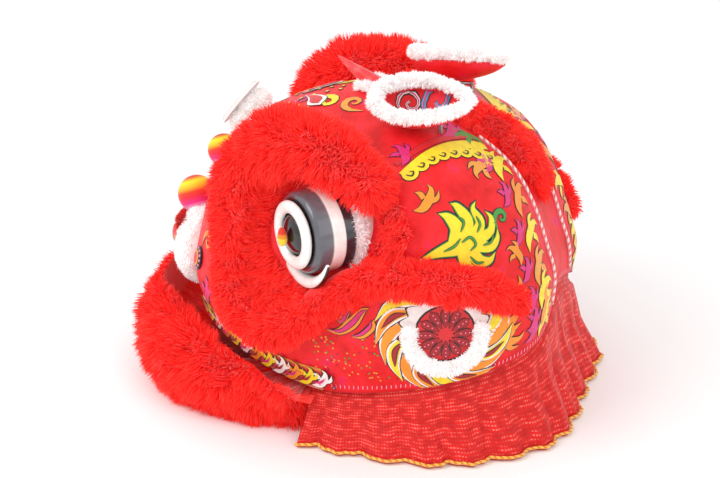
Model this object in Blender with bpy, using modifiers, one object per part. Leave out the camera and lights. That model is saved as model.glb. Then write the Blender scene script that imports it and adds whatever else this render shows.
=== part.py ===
# Lion dance head of padded printed cloth with deep fur brows, a hinged jaw and hinged ears.
# Metres, +Z up. The lion faces -Y and its left side is +X. It stands on the floor at z = 0.

import math

import bmesh
import bpy
import numpy as np
from mathutils import Matrix, Vector

# Head shell: reaches from its upright middle line, and heights above the floor
face_reach = 0.285
side_reach = 0.262
back_reach = 0.330
crown_height = 0.487
middle_y = 0.0060
shell_wall = 0.003
shell_around = 36
shell_rings = 9
seat_gap = 0.0005

# One row a section of the half outline, from the face round to the back. Plan x is a share of
# side_reach, plan y of face_reach or back_reach, heights of crown_height, rim and shoulder of the plan.
# columns: plan x, plan y, belly height, rim in, rim height, shoulder in, shoulder height
shell_sections = (
    (0.000, -1.000, 0.472, 0.947, 0.308, 0.740, 0.835),
    (0.500, -0.880, 0.440, 0.965, 0.277, 0.740, 0.830),
    (0.850, -0.500, 0.420, 0.950, 0.216, 0.740, 0.830),
    (1.000, 0.000, 0.430, 0.925, 0.160, 0.770, 0.840),
    (0.970, 0.542, 0.450, 0.952, 0.234, 0.800, 0.852),
    (0.566, 0.890, 0.483, 1.000, 0.304, 0.735, 0.858),
    (0.000, 0.890, 0.554, 1.034, 0.400, 0.730, 0.848),
)
section_count = 2 * (len(shell_sections) - 1)
back_section = len(shell_sections) - 1

# Eyes: a drum that stands out of a hollow in each side of the face
eye_section = 2.85
eye_up = 0.545
eye_turn = math.radians(48)
eye_proud = 0.030
eye_radius = 0.062
eye_base_radius = 0.070
eye_length = 0.110
eye_hollow_depth = 0.042
eye_hollow_reach = 0.070
eye_ring_tube = 0.010
eye_pupil_radius = 0.034
eye_pupil_height = 0.016
eye_glint_radius = 0.009
eye_lid_tube = 0.011
eye_lid_gap = 0.003

# Brow and cheek fur: one roll round the eye that ends over the cheek ring.
# columns: shell section, share of the way up from rim to crown, radius as a share of brow_fur_radius
brow_fur_radius = 0.058
brow_fur_rows = 29
brow_fur_path = (
    (4.75, 0.36, 0.30),
    (4.45, 0.42, 0.44),
    (4.00, 0.46, 0.48),
    (3.50, 0.465, 0.46),
    (3.12, 0.42, 0.48),
    (2.75, 0.33, 0.52),
    (2.40, 0.29, 0.56),
    (2.05, 0.34, 0.56),
    (1.86, 0.48, 0.58),
    (1.72, 0.64, 0.76),
    (2.15, 0.71, 1.00),
    (2.95, 0.70, 0.96),
    (3.45, 0.655, 0.64),
)
brow_eye_clearance = 0.004

# Mane: a strip of fur down the middle of the back
mane_radius = 0.030
mane_rows = 11
mane_proud = 0.2
mane_lock_depth = 0.3
mane_path = ((0.845, 0.50), (0.78, 0.85), (0.70, 1.00), (0.62, 0.95), (0.54, 0.60))

# Muzzle, nose and face trimmings
muzzle_reach = (0.104, 0.042, 0.068)
muzzle_height = 0.198
muzzle_groove = 0.16
nose_radius = 0.017
nose_half_width = 0.040
nose_ball_radius = 0.032
nose_ball_up = 0.405
bridge_ball_radius = 0.027
bridge_ball_up = 0.555
bow_radius = 0.012
bow_half_width = 0.046
spot_radius = 0.020
spot_height = 0.008
spot_section = 0.98
spot_up = 0.34
mirror_radius = 0.041
mirror_thickness = 0.007
mirror_lift = 0.036
mirror_up = 0.70
mirror_tilt = math.radians(53)
mirror_fur_radius = 0.0185
horn_length = 0.078
horn_radius = 0.015
horn_lean = math.radians(56)
collar_radius = 0.020
collar_tube = 0.011
pompom_radius = 0.016
pompom_section = 4.6
pompom_up = 0.925

# Cheek ring, lip trim and back piping
wheel_section = 4.05
wheel_up = 0.30
wheel_radius = 0.054
wheel_tube = 0.013
wheel_flat = 0.40
wheel_sink = 0.003
wheel_rows = 12
wheel_first = math.radians(172)
wheel_last = math.radians(368)
trim_first_section = 1.05
trim_last_section = 2.95
trim_wall = 0.003
piping_radius = 0.0028
piping_rows = 9
# columns: share of the way up, distance from the midline as a share of piping_side
piping_side = 0.052
piping_path = ((0.74, 0.80), (0.64, 0.96), (0.52, 1.00), (0.38, 1.00), (0.22, 1.05), (0.05, 1.25))

# Ears: a scoop on a hinge pin, with a fur rim
ear_length = 0.150
ear_width = 0.090
ear_depth = 0.030
ear_wall = 0.0025
ear_centre_x = 0.105
ear_centre_y = 0.108
ear_lift = 0.013
ear_lean = math.radians(20)
ear_fur_radius = 0.011
ear_pin_radius = 0.003
ear_pin_length = 0.050
ear_knuckle_radius = 0.006
ear_knuckle_length = 0.030
pin_clearance = 0.0006

# Neck skirt: gathered knit cloth from the rim to the floor
skirt_wall = 0.002
skirt_first_section = 2.80
skirt_steps = 54
skirt_gathers = 18
skirt_fold = 0.009
skirt_flare = 0.046
skirt_tuck = 0.012
skirt_seat = 0.0032
# columns: share of the rim's height, share of skirt_flare, share of skirt_fold
skirt_levels = ((0.92, 0.00, 0.00), (0.50, 0.28, 0.60), (0.10, 0.94, 1.00), (0.0, 1.0, 1.0))
hem_radius = 0.0025
hem_height = 0.007
hem_clearance = 0.0004

# Jaw: a board with a fur roll on its rim, hung on two pins inside the mouth corners
jaw_hinge_y = middle_y - 0.010
jaw_hinge_z = 0.100
jaw_pin_radius = 0.004
jaw_lug_wall = 0.006
jaw_lug_half_width = 0.013
jaw_lug_x = 0.200
jaw_lug_step = 0.0002
jaw_board_wall = 0.005
jaw_board_height = 0.030
jaw_board_inset = 0.018
jaw_fur_radius = 0.066
# columns: plan x and y as shares of side_reach and face_reach, width and height as shares of
# jaw_fur_radius, middle height as a share of jaw_fur_radius
jaw_fur_path = (
    (0.775, -0.245, 0.62, 0.66, 0.74),
    (0.795, -0.400, 0.90, 0.92, 0.92),
    (0.780, -0.600, 1.00, 1.00, 1.00),
    (0.690, -0.840, 1.00, 1.02, 1.04),
    (0.480, -1.050, 0.90, 1.12, 1.16),
    (0.240, -1.140, 0.72, 1.26, 1.30),
    (0.000, -1.172, 0.64, 1.28, 1.34),
)
lip_clearance = 0.012
lip_shelf_height = 0.066
jaw_rest_height = 0.016
muzzle_clearance = 0.019

fur_lock_depth = 0.17
merge_distance = 0.00001

# Colours: linear red, green, blue, then roughness and metallic
finishes = {
    "printed_cloth": ((0.80, 0.045, 0.040), 0.55, 0.0),
    "red_fur": ((0.90, 0.012, 0.008), 0.95, 0.0),
    "white_fur": ((0.90, 0.86, 0.83), 0.95, 0.0),
    "knit_cloth": ((0.72, 0.020, 0.010), 0.60, 0.0),
    "gold_piping": ((0.87, 0.38, 0.045), 0.45, 0.0),
    "white_piping": ((0.85, 0.70, 0.68), 0.55, 0.0),
    "eye_black": ((0.03, 0.03, 0.035), 0.35, 0.0),
    "eye_white": ((0.92, 0.90, 0.87), 0.40, 0.0),
    "glint": ((0.90, 0.30, 0.02), 0.35, 0.0),
    "velvet": ((0.85, 0.10, 0.16), 0.85, 0.0),
    "satin": ((0.86, 0.07, 0.07), 0.40, 0.0),
    "mirror": ((0.80, 0.82, 0.84), 0.08, 1.0),
    "steel": ((0.55, 0.55, 0.55), 0.35, 1.0),
    "board": ((0.45, 0.28, 0.14), 0.75, 0.0),
}


def clear_scene():
    for thing in list(bpy.data.objects):
        bpy.data.objects.remove(thing, do_unlink=True)


def new_collection(name):
    collection = bpy.data.collections.new(name)
    bpy.context.scene.collection.children.link(collection)
    return collection


def material(finish):
    found = bpy.data.materials.get(finish)
    if found:
        return found
    colour, roughness, metallic = finishes[finish]
    made = bpy.data.materials.new(finish)
    made.use_nodes = True
    shader = made.node_tree.nodes["Principled BSDF"]
    shader.inputs["Base Color"].default_value = (*colour, 1.0)
    shader.inputs["Roughness"].default_value = roughness
    shader.inputs["Metallic"].default_value = metallic
    made.diffuse_color = (*colour, 1.0)
    return made


def put(name, bm, finish, closed=True):
    """Turn a bmesh into a named, smooth, coloured part."""
    bmesh.ops.remove_doubles(bm, verts=bm.verts, dist=merge_distance)
    if closed:
        bmesh.ops.recalc_face_normals(bm, faces=bm.faces)
    mesh = bpy.data.meshes.new(name)
    bm.to_mesh(mesh)
    bm.free()
    thing = bpy.data.objects.new(name, mesh)
    if finish:
        mesh.materials.append(material(finish))
        mesh.shade_smooth()
        mesh.set_sharp_from_angle(angle=math.radians(50))
        parts.objects.link(thing)
    else:
        thing.hide_render = True
        thing.display_type = "WIRE"
        cutters.objects.link(thing)
    return thing


def boolean(thing, other, operation="DIFFERENCE"):
    change = thing.modifiers.new(operation.lower(), "BOOLEAN")
    change.object = other
    change.operation = operation
    change.solver = "EXACT"


def catmull(values, place, ring):
    """Read a smooth curve through rows of values at a place counted in rows."""
    values = np.asarray(values, float)
    count = len(values)
    if ring:
        start = np.floor(place).astype(int)
        rows = [values[(start + k) % count] for k in (-1, 0, 1, 2)]
    else:
        padded = np.vstack([2 * values[0] - values[1], values, 2 * values[-1] - values[-2]])
        start = np.clip(np.floor(place), 0, count - 2).astype(int)
        rows = [padded[start + k] for k in (0, 1, 2, 3)]
    part = (place - start)[..., None]
    before, near, far, after = rows
    return 0.5 * (
        2 * near
        + (far - before) * part
        + (2 * before - 5 * near + 4 * far - after) * part**2
        + (3 * near - before - 3 * far + after) * part**3
    )


def mirrored_sections():
    half = np.array(shell_sections)
    other = half[-2:0:-1].copy()
    other[:, 0] *= -1
    return np.vstack([half, other])


def eye_axis():
    return np.array([math.sin(eye_turn), -math.cos(eye_turn), 0.0])


def plain_shell(section, up):
    """The shell's outer surface without its eye hollows."""
    section = np.asarray(section, float)
    up = np.asarray(up, float)
    row = catmull(mirrored_sections(), section, True)
    plan_x = row[..., 0] * side_reach
    plan_y = row[..., 1] * np.where(row[..., 1] < 0, face_reach, back_reach)

    def ring(share, height):
        return np.stack([plan_x * share, plan_y * share, height * crown_height], -1)

    rim = ring(row[..., 3], row[..., 4])
    belly = ring(np.ones_like(plan_x), row[..., 2])
    shoulder = ring(row[..., 5], row[..., 6])
    crown = ring(np.zeros_like(plan_x), np.ones_like(plan_x))
    past_crown = shoulder * np.array([-1.0, -1.0, 1.0])
    points = (2 * rim - belly, rim, belly, shoulder, crown, past_crown)
    place = np.clip(up * 3, 0, 2.999999)
    lower = np.floor(place).astype(int)
    part = (place - lower)[..., None]
    out = np.zeros(np.broadcast(section, up).shape + (3,))
    for step in range(3):
        before, near, far, after = (np.broadcast_to(points[step + k], out.shape) for k in range(4))
        value = 0.5 * (
            2 * near
            + (far - before) * part
            + (2 * before - 5 * near + 4 * far - after) * part**2
            + (3 * near - before - 3 * far + after) * part**3
        )
        out = np.where((lower == step)[..., None], value, out)
    return out + np.array([0.0, middle_y, 0.0])


def shell_point(section, up):
    """The shell's outer surface, with a hollow pressed in behind each eye."""
    out = plain_shell(section, up)
    seat = plain_shell(eye_section, eye_up)
    for side in (1.0, -1.0):
        flip = np.array([side, 1.0, 1.0])
        away = np.linalg.norm(out - seat * flip, axis=-1)[..., None]
        out = out - eye_axis() * flip * eye_hollow_depth * np.exp(-((away / eye_hollow_reach) ** 2))
    return out


def shell_normal(section, up, step=0.02):
    section = np.asarray(section, float)
    up = np.clip(np.asarray(up, float), step, 1 - step)
    along = shell_point(section + step, up) - shell_point(section - step, up)
    rise = shell_point(section, up + step) - shell_point(section, up - step)
    normal = np.cross(along, rise)
    return normal / np.linalg.norm(normal, axis=-1, keepdims=True)


def grid_mesh(points, ring_first, cap_point=None, close_bottom=False):
    """A mesh over a grid of points; the first direction may close on itself."""
    bm = bmesh.new()
    rows = [[bm.verts.new(p) for p in line] for line in points]
    first = len(rows)
    second = len(rows[0])
    for i in range(first if ring_first else first - 1):
        here, there = rows[i], rows[(i + 1) % first]
        for j in range(second - 1):
            bm.faces.new((here[j], there[j], there[j + 1]))
            bm.faces.new((here[j], there[j + 1], here[j + 1]))
        if cap_point is not None:
            if i == 0:
                tip = bm.verts.new(cap_point)
            bm.faces.new((here[-1], there[-1], tip))
    if close_bottom:
        bm.faces.new([line[0] for line in reversed(rows)])
    return bm


def shell_grid(lift):
    """The shell's own facets, moved outward by a lift."""
    section = np.arange(shell_around) * section_count / shell_around
    up = np.linspace(0, 1, shell_rings + 1)[:-1]
    across, rise = np.meshgrid(section, up, indexing="ij")
    points = shell_point(across, rise) + shell_normal(across, rise) * lift
    crown = shell_point(0.0, 1.0) + np.array([0.0, 0.0, lift])
    return points, crown


def solidify(thing, wall, offset):
    shell = thing.modifiers.new("wall", "SOLIDIFY")
    shell.thickness = wall
    shell.offset = offset
    shell.use_even_offset = True
    shell.use_quality_normals = True


def make_shell():
    points, crown = shell_grid(0.0)
    thing = put("shell", grid_mesh(points, True, crown), "printed_cloth")
    solidify(thing, shell_wall, -1.0)


def shell_block(name, lift, drop):
    """The shell filled in, for seating pieces on it: its flat floor lies a drop below the lowest rim."""
    points, crown = shell_grid(lift)
    below = points[:, :1].copy()
    below[..., 2] = points[..., 2].min() - drop
    return put(name, grid_mesh(np.concatenate([below, points], 1), True, crown, True), None)


def frames(centres, ups, ring):
    """Along, side and up directions at each centre of a path."""
    centres = np.asarray(centres, float)
    if ring:
        along = np.roll(centres, -1, 0) - np.roll(centres, 1, 0)
    else:
        along = np.gradient(centres, axis=0)
    along /= np.linalg.norm(along, axis=1, keepdims=True)
    side = np.cross(along, ups)
    side /= np.linalg.norm(side, axis=1, keepdims=True)
    return along, side, np.cross(side, along)


def fur_roll(
    name, centres, ups, widths, heights, around, ring, finish, lock=fur_lock_depth, shape=None
):
    """A fat tube along a path whose skin is raised in staggered locks."""
    centres = np.asarray(centres, float)
    along, side, upward = frames(centres, np.asarray(ups, float), ring)
    widths = np.asarray(widths, float)
    heights = np.asarray(heights, float)
    if not ring:
        share = np.array([0.45, 0.84])
        widths = np.concatenate([widths[:1] * share, widths, widths[-1:] * share[::-1]])
        heights = np.concatenate([heights[:1] * share, heights, heights[-1:] * share[::-1]])
        reach = np.array([0.85, 0.50])[:, None]
        first = centres[0] - along[0] * widths[2] * reach
        last = centres[-1] + along[-1] * widths[-3] * reach[::-1]
        centres = np.vstack([first, centres, last])
        side = np.vstack([side[:1], side[:1], side, side[-1:], side[-1:]])
        upward = np.vstack([upward[:1], upward[:1], upward, upward[-1:], upward[-1:]])
    turn = np.arange(around) * 2 * math.pi / around
    stagger = np.where((np.arange(len(centres))[:, None] + np.arange(around)[None]) % 2 == 0, 1.0, -1.0)
    swell = 1 + lock * 0.5 * stagger
    across = widths[:, None] * np.cos(turn)[None] * swell
    rise = heights[:, None] * np.sin(turn)[None] * swell
    points = centres[:, None] + side[:, None] * across[..., None] + upward[:, None] * rise[..., None]
    if shape:
        points = shape(points)
    bm = bmesh.new()
    rows = [[bm.verts.new(p) for p in line] for line in points]
    count = len(rows)
    for i in range(count if ring else count - 1):
        here, there = rows[i], rows[(i + 1) % count]
        for j in range(around):
            after = (j + 1) % around
            bm.faces.new((here[j], there[j], there[after], here[after]))
    if not ring:
        for line in (rows[0], rows[-1][::-1]):
            middle = bm.verts.new(sum((v.co for v in line), Vector()) / around)
            for j in range(around):
                bm.faces.new((line[j], line[(j + 1) % around], middle))
    bmesh.ops.triangulate(bm, faces=bm.faces)
    return put(name, bm, finish)


def on_shell(path, count, mirror):
    """Points, normals and last column along a path given in shell sections and shares up."""
    rows = catmull(np.array(path), np.linspace(0, len(path) - 1, count), False)
    points = shell_point(rows[:, 0], rows[:, 1])
    normals = shell_normal(rows[:, 0], rows[:, 1])
    flip = np.array([mirror, 1.0, 1.0])
    return points * flip, normals * flip, rows[:, 2]


def placed(bm, origin, axis, spin=0.0):
    """Turn a shape made along +Z to an axis and move it to an origin."""
    turn = Vector(axis).to_track_quat("Z", "Y").to_matrix().to_4x4()
    bm.transform(Matrix.Translation(Vector(origin)) @ turn @ Matrix.Rotation(spin, 4, "Z"))
    return bm


def turned(name, profile, origin, axis, finish, steps=24):
    """A profile of radius and height, turned about an axis; both its ends lie on the axis."""
    bm = bmesh.new()
    verts = [bm.verts.new((radius, 0.0, height)) for radius, height in profile]
    edges = [bm.edges.new(pair) for pair in zip(verts[:-1], verts[1:])]
    bmesh.ops.spin(
        bm,
        geom=verts + edges,
        cent=(0, 0, 0),
        axis=(0, 0, 1),
        angle=2 * math.pi,
        steps=steps,
        use_merge=True,
    )
    return put(name, placed(bm, origin, axis), finish)


def ball(name, origin, reach, finish, detail=16, axis=(0, 0, 1)):
    bm = bmesh.new()
    bmesh.ops.create_uvsphere(bm, u_segments=detail, v_segments=detail // 2, radius=1.0)
    bm.transform(Matrix.Diagonal((*reach, 1.0)))
    return put(name, placed(bm, origin, axis), finish)


def rod(name, first, last, radius, finish, sides=12):
    first = Vector(first)
    last = Vector(last)
    bm = bmesh.new()
    bmesh.ops.create_cone(
        bm, cap_ends=True, segments=sides, radius1=radius, radius2=radius, depth=(last - first).length
    )
    return put(name, placed(bm, (first + last) / 2, last - first), finish)


def box(name, low, high, finish):
    bm = bmesh.new()
    bmesh.ops.create_cube(bm, size=1.0)
    low = Vector(low)
    high = Vector(high)
    size = high - low
    bm.transform(Matrix.Translation((low + high) / 2) @ Matrix.Diagonal((*size, 1.0)))
    return put(name, bm, finish)


def make_eye(side, mirror):
    flip = np.array([mirror, 1.0, 1.0])
    axis = eye_axis() * flip
    front = plain_shell(eye_section, eye_up) * flip + axis * eye_proud
    step_in = eye_radius * 0.16
    drum = turned(
        f"eye_drum_{side}",
        (
            (0.0, 0.0),
            (eye_radius - step_in, 0.0),
            (eye_radius, -step_in),
            (eye_base_radius, -eye_length),
            (0.0, -eye_length),
        ),
        front,
        axis,
        "eye_black",
        20,
    )
    boolean(drum, seating)
    ring_reach = eye_radius - step_in - eye_ring_tube
    bm = bmesh.new()
    verts = []
    for k in range(5):
        angle = (k + 0.5) * math.pi * 0.4
        spot = (ring_reach + eye_ring_tube * math.cos(angle), 0.0, eye_ring_tube * 0.7 * math.sin(angle))
        verts.append(bm.verts.new(spot))
    edges = [bm.edges.new((verts[k], verts[(k + 1) % 5])) for k in range(5)]
    bmesh.ops.spin(
        bm, geom=verts + edges, cent=(0, 0, 0), axis=(0, 0, 1), angle=2 * math.pi, steps=16, use_merge=True
    )
    lift = eye_ring_tube * 0.7 + seat_gap
    put(f"eye_ring_{side}", placed(bm, front + axis * lift, axis), "eye_white")
    turned(
        f"eye_pupil_{side}",
        (
            (0.0, eye_pupil_height),
            (eye_pupil_radius * 0.45, eye_pupil_height * 0.90),
            (eye_pupil_radius * 0.80, eye_pupil_height * 0.55),
            (eye_pupil_radius * 0.95, 0.0),
            (0.0, 0.0),
        ),
        front + axis * seat_gap,
        axis,
        "eye_black",
        16,
    )
    glint_seat = front + axis * (seat_gap * 2 + eye_pupil_height + eye_glint_radius * 0.9)
    glint_reach = (eye_glint_radius, eye_glint_radius, eye_glint_radius * 0.9)
    ball(f"eye_glint_{side}", glint_seat, glint_reach, "glint", 8, axis)

    # The lower lid is a crescent under the drum's front edge
    level = np.cross(axis, (0.0, 0.0, 1.0))
    turn = np.radians(np.linspace(-158, -22, 8))[:, None]
    reach = eye_radius + eye_lid_tube + eye_lid_gap
    middle = front - axis * eye_lid_tube
    centres = middle + reach * (level * np.cos(turn) + np.array([0.0, 0.0, 1.0]) * np.sin(turn))
    taper = eye_lid_tube * np.sin(np.radians(np.linspace(25, 155, 8)))
    lid = fur_roll(f"eye_lid_{side}", centres, [axis] * 8, taper, taper, 6, False, "eye_white", 0.0)
    boolean(lid, seating)
    return front, axis


def make_brow(side, mirror, front, axis):
    points, normals, share = on_shell(brow_fur_path, brow_fur_rows, mirror)
    radius = share * brow_fur_radius
    centres = points + normals * radius[:, None] * 0.55
    brow = fur_roll(f"brow_fur_{side}", centres, normals, radius, radius, 8, False, "red_fur")
    boolean(brow, seating)
    reach = eye_radius + 2 * eye_lid_tube + brow_eye_clearance
    clear = rod(f"eye_clear_{side}", front - axis * eye_length, front + axis * 0.08, reach, None, 28)
    boolean(brow, clear)


def make_wheel(side, mirror):
    flip = np.array([mirror, 1.0, 1.0])
    normal = shell_normal(wheel_section, wheel_up) * flip
    seat = shell_point(wheel_section, wheel_up) * flip - normal * wheel_sink
    turn = np.linspace(wheel_first, wheel_last, wheel_rows)
    level = np.cross(normal, (0.0, 0.0, 1.0))
    level /= np.linalg.norm(level)
    rise = np.cross(level, normal)
    centres = [seat + wheel_radius * (level * math.cos(a) + rise * math.sin(a)) for a in turn]
    ring = fur_roll(
        f"cheek_ring_{side}",
        centres,
        [normal] * wheel_rows,
        [wheel_tube] * wheel_rows,
        [wheel_tube * wheel_flat] * wheel_rows,
        6,
        False,
        "white_fur",
        0.0,
    )
    boolean(ring, seating)


def make_trim(side, mirror):
    """A band along the upper lip, on the shell's own facets."""
    step = section_count / shell_around
    first = round(trim_first_section / step)
    last = round(trim_last_section / step)
    section = np.arange(first, last + 1) * step
    up = np.array([0.0, 1.0 / shell_rings])
    across, rise = np.meshgrid(section, up, indexing="ij")
    flip = np.array([mirror, 1.0, 1.0])
    normal = shell_normal(across, rise)
    inner = (shell_point(across, rise) + normal * 2 * seat_gap) * flip
    outer = (shell_point(across, rise) + normal * (2 * seat_gap + trim_wall)) * flip
    loop = np.stack([inner[:, 0], inner[:, 1], outer[:, 1], outer[:, 0]], 1)
    bm = bmesh.new()
    rows = [[bm.verts.new(p) for p in line] for line in loop]
    for here, there in zip(rows[:-1], rows[1:]):
        for j in range(4):
            bm.faces.new((here[j], there[j], there[(j + 1) % 4], here[(j + 1) % 4]))
    bm.faces.new(rows[0])
    bm.faces.new(rows[-1])
    bmesh.ops.triangulate(bm, faces=bm.faces)
    put(f"lip_trim_{side}", bm, "printed_cloth")


def make_piping(side, mirror):
    rows = catmull(np.array(piping_path), np.linspace(0, len(piping_path) - 1, piping_rows), False)
    span = plain_shell(back_section - 1, rows[:, 0])[:, 0]
    section = back_section - rows[:, 1] * piping_side / span
    points = shell_point(section, rows[:, 0])
    normals = shell_normal(section, rows[:, 0])
    flip = np.array([mirror, 1.0, 1.0])
    centres = (points + normals * piping_radius * 0.6) * flip
    size = [piping_radius] * piping_rows
    pipe = fur_roll(f"back_piping_{side}", centres, normals * flip, size, size, 4, False, "white_piping", 0.0)
    boolean(pipe, seating)


def make_mane():
    rows = catmull(np.array(mane_path), np.linspace(0, len(mane_path) - 1, mane_rows), False)
    section = np.full(mane_rows, float(back_section))
    points = shell_point(section, rows[:, 0])
    normals = shell_normal(section, rows[:, 0])
    radius = rows[:, 1] * mane_radius
    centres = points + normals * radius[:, None] * mane_proud
    mane = fur_roll("mane", centres, normals, radius, radius, 8, False, "red_fur", mane_lock_depth)
    boolean(mane, seating)


def muzzle_block(name, centre, grow, finish):
    """The plush muzzle: a ball with a groove down its middle and two puffs below."""
    bm = bmesh.new()
    bmesh.ops.create_uvsphere(bm, u_segments=20, v_segments=10, radius=1.0)
    bmesh.ops.triangulate(bm, faces=bm.faces, quad_method="FIXED")
    for vert in bm.verts:
        groove = 1 - muzzle_groove * math.exp(-((vert.co.x / 0.16) ** 2)) * (1 if vert.co.z < 0.3 else 0.3)
        puff = 1 + 0.10 * math.exp(-(((abs(vert.co.x) - 0.5) / 0.3) ** 2)) * (vert.co.z < 0)
        vert.co = Vector((vert.co.x, vert.co.y * groove * puff, vert.co.z * puff))
    reach = [size + grow for size in muzzle_reach]
    bm.transform(Matrix.Translation(Vector(centre)) @ Matrix.Diagonal((*reach, 1.0)))
    return put(name, bm, finish)


def make_muzzle():
    centre = shell_point(0.0, muzzle_up_share())
    centre[2] = muzzle_height
    muzzle = muzzle_block("muzzle", centre, 0.0, "white_fur")
    boolean(muzzle, seating)
    return muzzle, centre


def muzzle_up_share():
    """How far up the front line the muzzle's middle lies."""
    ups = np.linspace(0, 1, 201)
    heights = shell_point(np.zeros(201), ups)[:, 2]
    return float(np.interp(muzzle_height, heights, ups))


def make_nose(muzzle, centre):
    """The nose ball, its bow, the nose pad and the two side spots."""
    seat = shell_point(0.0, nose_ball_up)
    normal = shell_normal(0.0, nose_ball_up)
    ball_centre = seat + normal * nose_ball_radius * 0.92
    nose_ball = ball("nose_ball", ball_centre, (nose_ball_radius,) * 3, "velvet", 14)
    boolean(nose_ball, seating)
    ball_clear = ball("nose_ball_clear", ball_centre, (nose_ball_radius + seat_gap * 2,) * 3, None, 14)
    boolean(muzzle, ball_clear)

    bridge = shell_point(0.0, bridge_ball_up) + shell_normal(0.0, bridge_ball_up) * bridge_ball_radius * 0.25
    bridge_ball = ball("bridge_ball", bridge, (bridge_ball_radius,) * 3, "velvet", 14)
    boolean(bridge_ball, seating)

    muzzle_clear = muzzle_block("muzzle_clear", centre, seat_gap * 1.4, None)
    shares = np.linspace(-1, 1, 9)
    top = centre + np.array([0.0, -muzzle_reach[1] * 0.86, muzzle_reach[2] * 0.53])
    bow_line = [top + np.array([s * bow_half_width, 0.012 * abs(s), 0.004 * abs(s)]) for s in shares]
    bow_size = bow_radius * (0.80 + 0.20 * np.abs(shares))
    bow = fur_roll("nose_bow", bow_line, [(0, -0.5, 1)] * 9, bow_size, bow_size, 6, False, "red_fur", 0.2)
    low = centre + np.array([0.0, -muzzle_reach[1] * 0.90, muzzle_reach[2] * 0.05])
    nose_line = [low + np.array([s * nose_half_width, 0.012 * s * s, 0.012 - 0.016 * abs(s)]) for s in shares]
    nose_size = nose_radius * (0.62 + 0.38 * np.sin(np.pi * np.abs(shares) ** 0.8))
    nose = fur_roll("nose", nose_line, [(0, -1, 0.2)] * 9, nose_size, nose_size * 0.7, 8, False, "velvet", 0.0)
    for piece in (bow, nose):
        boolean(piece, muzzle_clear)
        boolean(piece, seating)
    boolean(bow, ball_clear)
    for side, mirror in sides:
        flip = np.array([mirror, 1.0, 1.0])
        spot_seat = shell_point(spot_section, spot_up) * flip
        spot_normal = shell_normal(spot_section, spot_up) * flip
        spot_reach = (spot_radius, spot_radius * 0.8, spot_height)
        spot = ball(f"muzzle_spot_{side}", spot_seat, spot_reach, "velvet", 12, spot_normal)
        boolean(spot, seating)


def make_mirror():
    seat = shell_point(0.0, mirror_up)
    normal = np.array([0.0, -math.sin(mirror_tilt), math.cos(mirror_tilt)])
    disc = seat + normal * mirror_lift
    half = mirror_thickness / 2
    turned(
        "mirror_frame",
        (
            (0.0, half),
            (mirror_radius * 0.86, half),
            (mirror_radius * 0.90, half * 1.6),
            (mirror_radius, half),
            (mirror_radius, -half),
            (0.0, -half),
        ),
        disc,
        normal,
        "white_piping",
        16,
    )
    turned(
        "mirror_glass",
        ((0.0, 0.002), (mirror_radius * 0.84, 0.002), (mirror_radius * 0.84, 0.0), (0.0, 0.0)),
        disc + normal * (half + seat_gap),
        normal,
        "mirror",
        16,
    )
    ring = mirror_radius - mirror_fur_radius * 0.9
    drop = half + seat_gap + mirror_fur_radius * math.sin(math.radians(60)) * (1 + fur_lock_depth / 2)
    turn = np.radians(np.linspace(0, 360, 12, endpoint=False))
    rise = np.cross((1.0, 0.0, 0.0), normal)
    centres = [
        disc - normal * drop + ring * (np.array([1.0, 0, 0]) * math.cos(a) + rise * math.sin(a)) for a in turn
    ]
    size = [mirror_fur_radius] * 12
    fur = fur_roll("mirror_fur", centres, [normal] * 12, size, size, 6, True, "white_fur")
    boolean(fur, seating)


def make_horn():
    seat = shell_point(0.0, 1.0)
    lean = np.array([0.0, -math.sin(horn_lean), math.cos(horn_lean)])
    foot = seat + np.array([0.0, 0.004, collar_tube * 0.3])
    horn = turned(
        "horn",
        (
            (0.0, horn_length),
            (horn_radius * 0.16, horn_length * 0.97),
            (horn_radius * 0.62, horn_length * 0.45),
            (horn_radius, 0.0),
            (horn_radius * 0.9, -0.02),
            (0.0, -0.02),
        ),
        foot,
        lean,
        "satin",
        12,
    )
    boolean(horn, seating)
    reach = horn_radius + 2 * seat_gap
    clear = rod("horn_clear", foot - lean * 0.03, foot + lean * horn_length, reach, None, 12)
    turn = np.radians(np.linspace(0, 360, 10, endpoint=False))
    up = np.array([0.0, 0.0, 1.0])
    lift = collar_tube * 0.4
    centres = seat + np.stack([collar_radius * np.cos(turn), collar_radius * np.sin(turn), lift + 0 * turn], 1)
    size = [collar_tube] * 10
    collar = fur_roll("horn_collar", centres, [up] * 10, size, size, 6, True, "white_fur")
    boolean(collar, clear)
    boolean(collar, seating)
    for side, mirror in sides:
        flip = np.array([mirror, 1.0, 1.0])
        normal = shell_normal(pompom_section, pompom_up)
        middle = (shell_point(pompom_section, pompom_up) + normal * pompom_radius * 0.8) * flip
        pompom = ball(f"pompom_{side}", middle, (pompom_radius,) * 3, "red_fur", 8)
        boolean(pompom, seating)


def ear_frame(mirror):
    """Centre, length, width and outward directions of an ear, and its hinge point."""
    length = np.array([0.0, 1.0, 0.06])
    length /= np.linalg.norm(length)
    outward = np.array([math.sin(ear_lean), 0.0, math.cos(ear_lean)])
    outward -= length * (outward @ length)
    outward /= np.linalg.norm(outward)
    width = np.cross(length, outward)
    ground = ear_ground()
    centre = np.array([ear_centre_x, middle_y + ear_centre_y, ground + ear_lift + ear_depth])
    hinge = centre - outward * (ear_depth + ear_knuckle_radius * 0.6)
    flip = np.array([mirror, 1.0, 1.0])
    return centre * flip, length * flip, width * flip, outward * flip, hinge * flip


def ear_ground():
    """Height of the shell under the ear's middle."""
    ups = np.linspace(0.55, 1.0, 91)
    best = None
    for section in np.linspace(3.0, 6.0, 61):
        points = plain_shell(np.full(91, section), ups)
        away = np.hypot(points[:, 0] - ear_centre_x, points[:, 1] - middle_y - ear_centre_y)
        k = int(away.argmin())
        if best is None or away[k] < best[0]:
            best = (away[k], points[k, 2])
    return float(best[1])


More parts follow.
